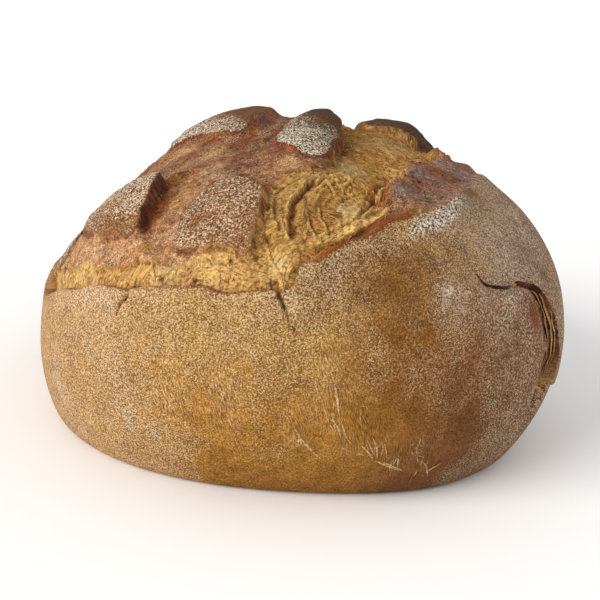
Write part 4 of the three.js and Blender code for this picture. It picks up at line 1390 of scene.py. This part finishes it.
def torn_crumb(node, kept, waves, holes):
    """Crumb is streaked along its fibres with painted shade between them, with painted highlight on
    thin threads and painted shade in small holes.
    """
    streaks = node("MapRange", {0: waves["fibre"], 1: 0.34, 2: 0.54, 3: 0.6, 4: 1},
                   interpolation_type="SMOOTHSTEP")
    tufts = node("MapRange", {0: waves["tuft"], 1: 0.3, 2: 0.7, 3: 0.75, 4: 1.25},
                 interpolation_type="SMOOTHSTEP")
    shade = node("Math", {0: streaks, 1: tufts}, operation="MULTIPLY")
    crumb = node("VectorMath", {0: kept["bare"], "Scale": shade}, operation="SCALE")
    thread_highlights = node("Math", {0: waves["fibre"], 1: 0.52}, operation="SUBTRACT")
    thread_highlights = node("Math", {0: thread_highlights}, operation="ABSOLUTE")
    thread_highlights = node("MapRange", {0: thread_highlights, 1: 0.06, 2: 0}, interpolation_type="SMOOTHSTEP")
    # Painted highlight on the threads and painted shade in the small holes.
    for marks, share, code in ((thread_highlights, 0.3, PALE_CRUMB_AND_HIGHLIGHT), (holes, 0.6, CRUMB_SHADE)):
        share = node("Math", {0: marks, 1: share}, operation="MULTIPLY")
        crumb = node("Mix", {0: share, 6: crumb, 7: (*srgb(code), 1)}, output=2, data_type="RGBA")
    return crumb


def floured_colour(node, kept, colour, dust, specks):
    """Flour over a colour, whiter where it lies thick."""
    cover = node("Math", {0: kept["flour"], 1: 0.7, 2: 0.2}, operation="MULTIPLY_ADD")
    cover = node("Math", {0: dust, 1: cover}, operation="MULTIPLY")
    caked = node("Math", {0: kept["cake"], 1: dust}, operation="MULTIPLY")
    cover = node("Math", {0: caked, 1: 0.42, 2: cover}, operation="MULTIPLY_ADD")
    specks = node("Math", {0: specks, 1: 0.6}, operation="MULTIPLY")
    cover = node("Math", {0: cover, 1: specks}, operation="MAXIMUM")
    thick = node("MapRange", {0: kept["flour"], 1: 0.45, 2: 0.85}, interpolation_type="SMOOTHSTEP")
    caked = node("Math", {0: kept["cake"], 1: 0.3}, operation="MULTIPLY")
    thick = node("Math", {0: thick, 1: caked}, operation="MAXIMUM")
    flour = node("Mix", {0: thick, 6: (*srgb(FLOUR_CREAM), 1), 7: (*srgb(FLOUR_WHITE), 1)}, output=2,
                 data_type="RGBA")
    return node("Mix", {0: cover, 6: colour, 7: flour}, output=2, data_type="RGBA")


def bread_relief(node, kept, waves, grains, holes):
    """Grains stand up on the crust, fibres on the crumb, and small holes go in."""
    strength = node("Math", {0: kept["crumb"], 1: -1, 2: 1.5}, operation="MULTIPLY_ADD")
    relief = node("Math", {0: grains, 1: strength}, operation="MULTIPLY")
    relief = node("Math", {0: waves["grit"], 1: 0.4, 2: relief}, operation="MULTIPLY_ADD")
    fibres = node("Math", {0: waves["fibre"], 1: kept["crumb"]}, operation="MULTIPLY")
    relief = node("Math", {0: fibres, 1: 1.8, 2: relief}, operation="MULTIPLY_ADD")
    relief = node("Math", {0: holes, 1: -0.6, 2: relief}, operation="MULTIPLY_ADD")
    return node("Bump", {"Height": relief, "Distance": BUMP_HEIGHT, "Strength": 1})


def bread_material():
    """Baked crust with flour dust, torn crumb and skin. All of it is matt: the flour scatters light,
    the crumb is open and dry, and only the bare skin has a faint sheen."""
    material, tree, surface = new_material("floured rye crust and torn crumb", CRUST_ROUGHNESS)
    node = partial(add, tree)
    kept = {name: node("Attribute", output="Fac", attribute_name=name)
            for name in ("flour", "crumb", "gloss", "cake", "drawn")}
    kept["bare"] = node("Attribute", output="Color", attribute_name="bare")
    waves = bread_patterns(node)
    grains = node("Mix", {0: kept["drawn"], 2: waves["grain"], 3: waves["around"]})
    grains = node("Mix", {0: kept["cake"], 2: grains, 3: waves["clump"]})
    holes = node("MapRange", {0: waves["hole"], 1: 0.6, 2: 0.7}, interpolation_type="SMOOTHSTEP")
    holes = node("Math", {0: holes, 1: kept["crumb"]}, operation="MULTIPLY")

    dust, specks = flour_dust(node, kept, waves, grains)
    crust = baked_crust(node, kept, waves, grains)
    crumb = torn_crumb(node, kept, waves, holes)
    colour = node("Mix", {0: kept["crumb"], 6: crust, 7: crumb}, output=2, data_type="RGBA")
    colour = floured_colour(node, kept, colour, dust, specks)
    rough = node("Math", {0: kept["gloss"], 1: GLOSSY_ROUGHNESS - CRUST_ROUGHNESS, 2: CRUST_ROUGHNESS},
                 operation="MULTIPLY_ADD")
    rough = node("Math", {0: rough, 1: dust}, operation="MAXIMUM")
    relief = bread_relief(node, kept, waves, grains, holes)
    for socket, value in (("Base Color", colour), ("Roughness", rough), ("Normal", relief)):
        tree.links.new(value, surface.inputs[socket])
    return material


bread = bread_material()
for piece in (loaf, top, fold, fibres, flakes, creases):
    piece.data.materials.append(bread)

# ======== Floor, lights and camera ========

FLOOR_SIZE, FLOOR_WHITE, FLOOR_ROUGHNESS = 6, 0.95, 0.9
SKY_COLOUR, SKY_STRENGTH = (1.0, 0.99, 0.98), 0.7
LAMPS = [  # name, energy, width in degrees, colour and the way it shines
    ("key", 2.85, 40, (1.0, 0.97, 0.93), (0.70, 0.60, -0.44)),
    ("rim", 0.55, 70, (1.0, 0.99, 0.98), (-0.85, -0.40, -0.25)),
]

bpy.ops.mesh.primitive_plane_add(size=FLOOR_SIZE)
floor = named("studio_floor")
floor_paint, _, floor_surface = new_material("matt white studio floor", FLOOR_ROUGHNESS)
floor_surface.inputs["Base Color"].default_value = (FLOOR_WHITE, FLOOR_WHITE, FLOOR_WHITE, 1)
floor.data.materials.append(floor_paint)

world = bpy.data.worlds.new("studio")
bpy.context.scene.world = world
world.use_nodes = True
sky = world.node_tree.nodes["Background"]
sky.inputs["Color"].default_value = (*SKY_COLOUR, 1)
sky.inputs["Strength"].default_value = SKY_STRENGTH

for name, energy, width, colour, direction in LAMPS:
    sun = bpy.data.lights.new(name, "SUN")
    sun.energy = energy
    sun.angle = math.radians(width)
    sun.color = colour
    lamp = bpy.data.objects.new(name, sun)
    bpy.context.scene.collection.objects.link(lamp)
    lamp.rotation_euler = Vector(direction).to_track_quat("-Z", "Y").to_euler()

bpy.context.scene.view_settings.view_transform = "Standard"

camera_data = bpy.data.cameras.new("camera")
camera_data.sensor_width = 36
camera_data.lens = FOCAL_PIXELS / PICTURE_WIDTH * camera_data.sensor_width
camera = bpy.data.objects.new("camera", camera_data)
bpy.context.scene.collection.objects.link(camera)
elevation = math.radians(CAMERA_ELEVATION)
forward = Vector((0, math.cos(elevation), -math.sin(elevation)))
camera.matrix_world = (Matrix.Translation(Vector(CAMERA_TARGET) - CAMERA_DISTANCE * forward)
                       @ forward.to_track_quat("-Z", "Y").to_matrix().to_4x4()
                       @ Matrix.Rotation(math.radians(CAMERA_ROLL), 4, "Z"))
bpy.context.scene.camera = camera
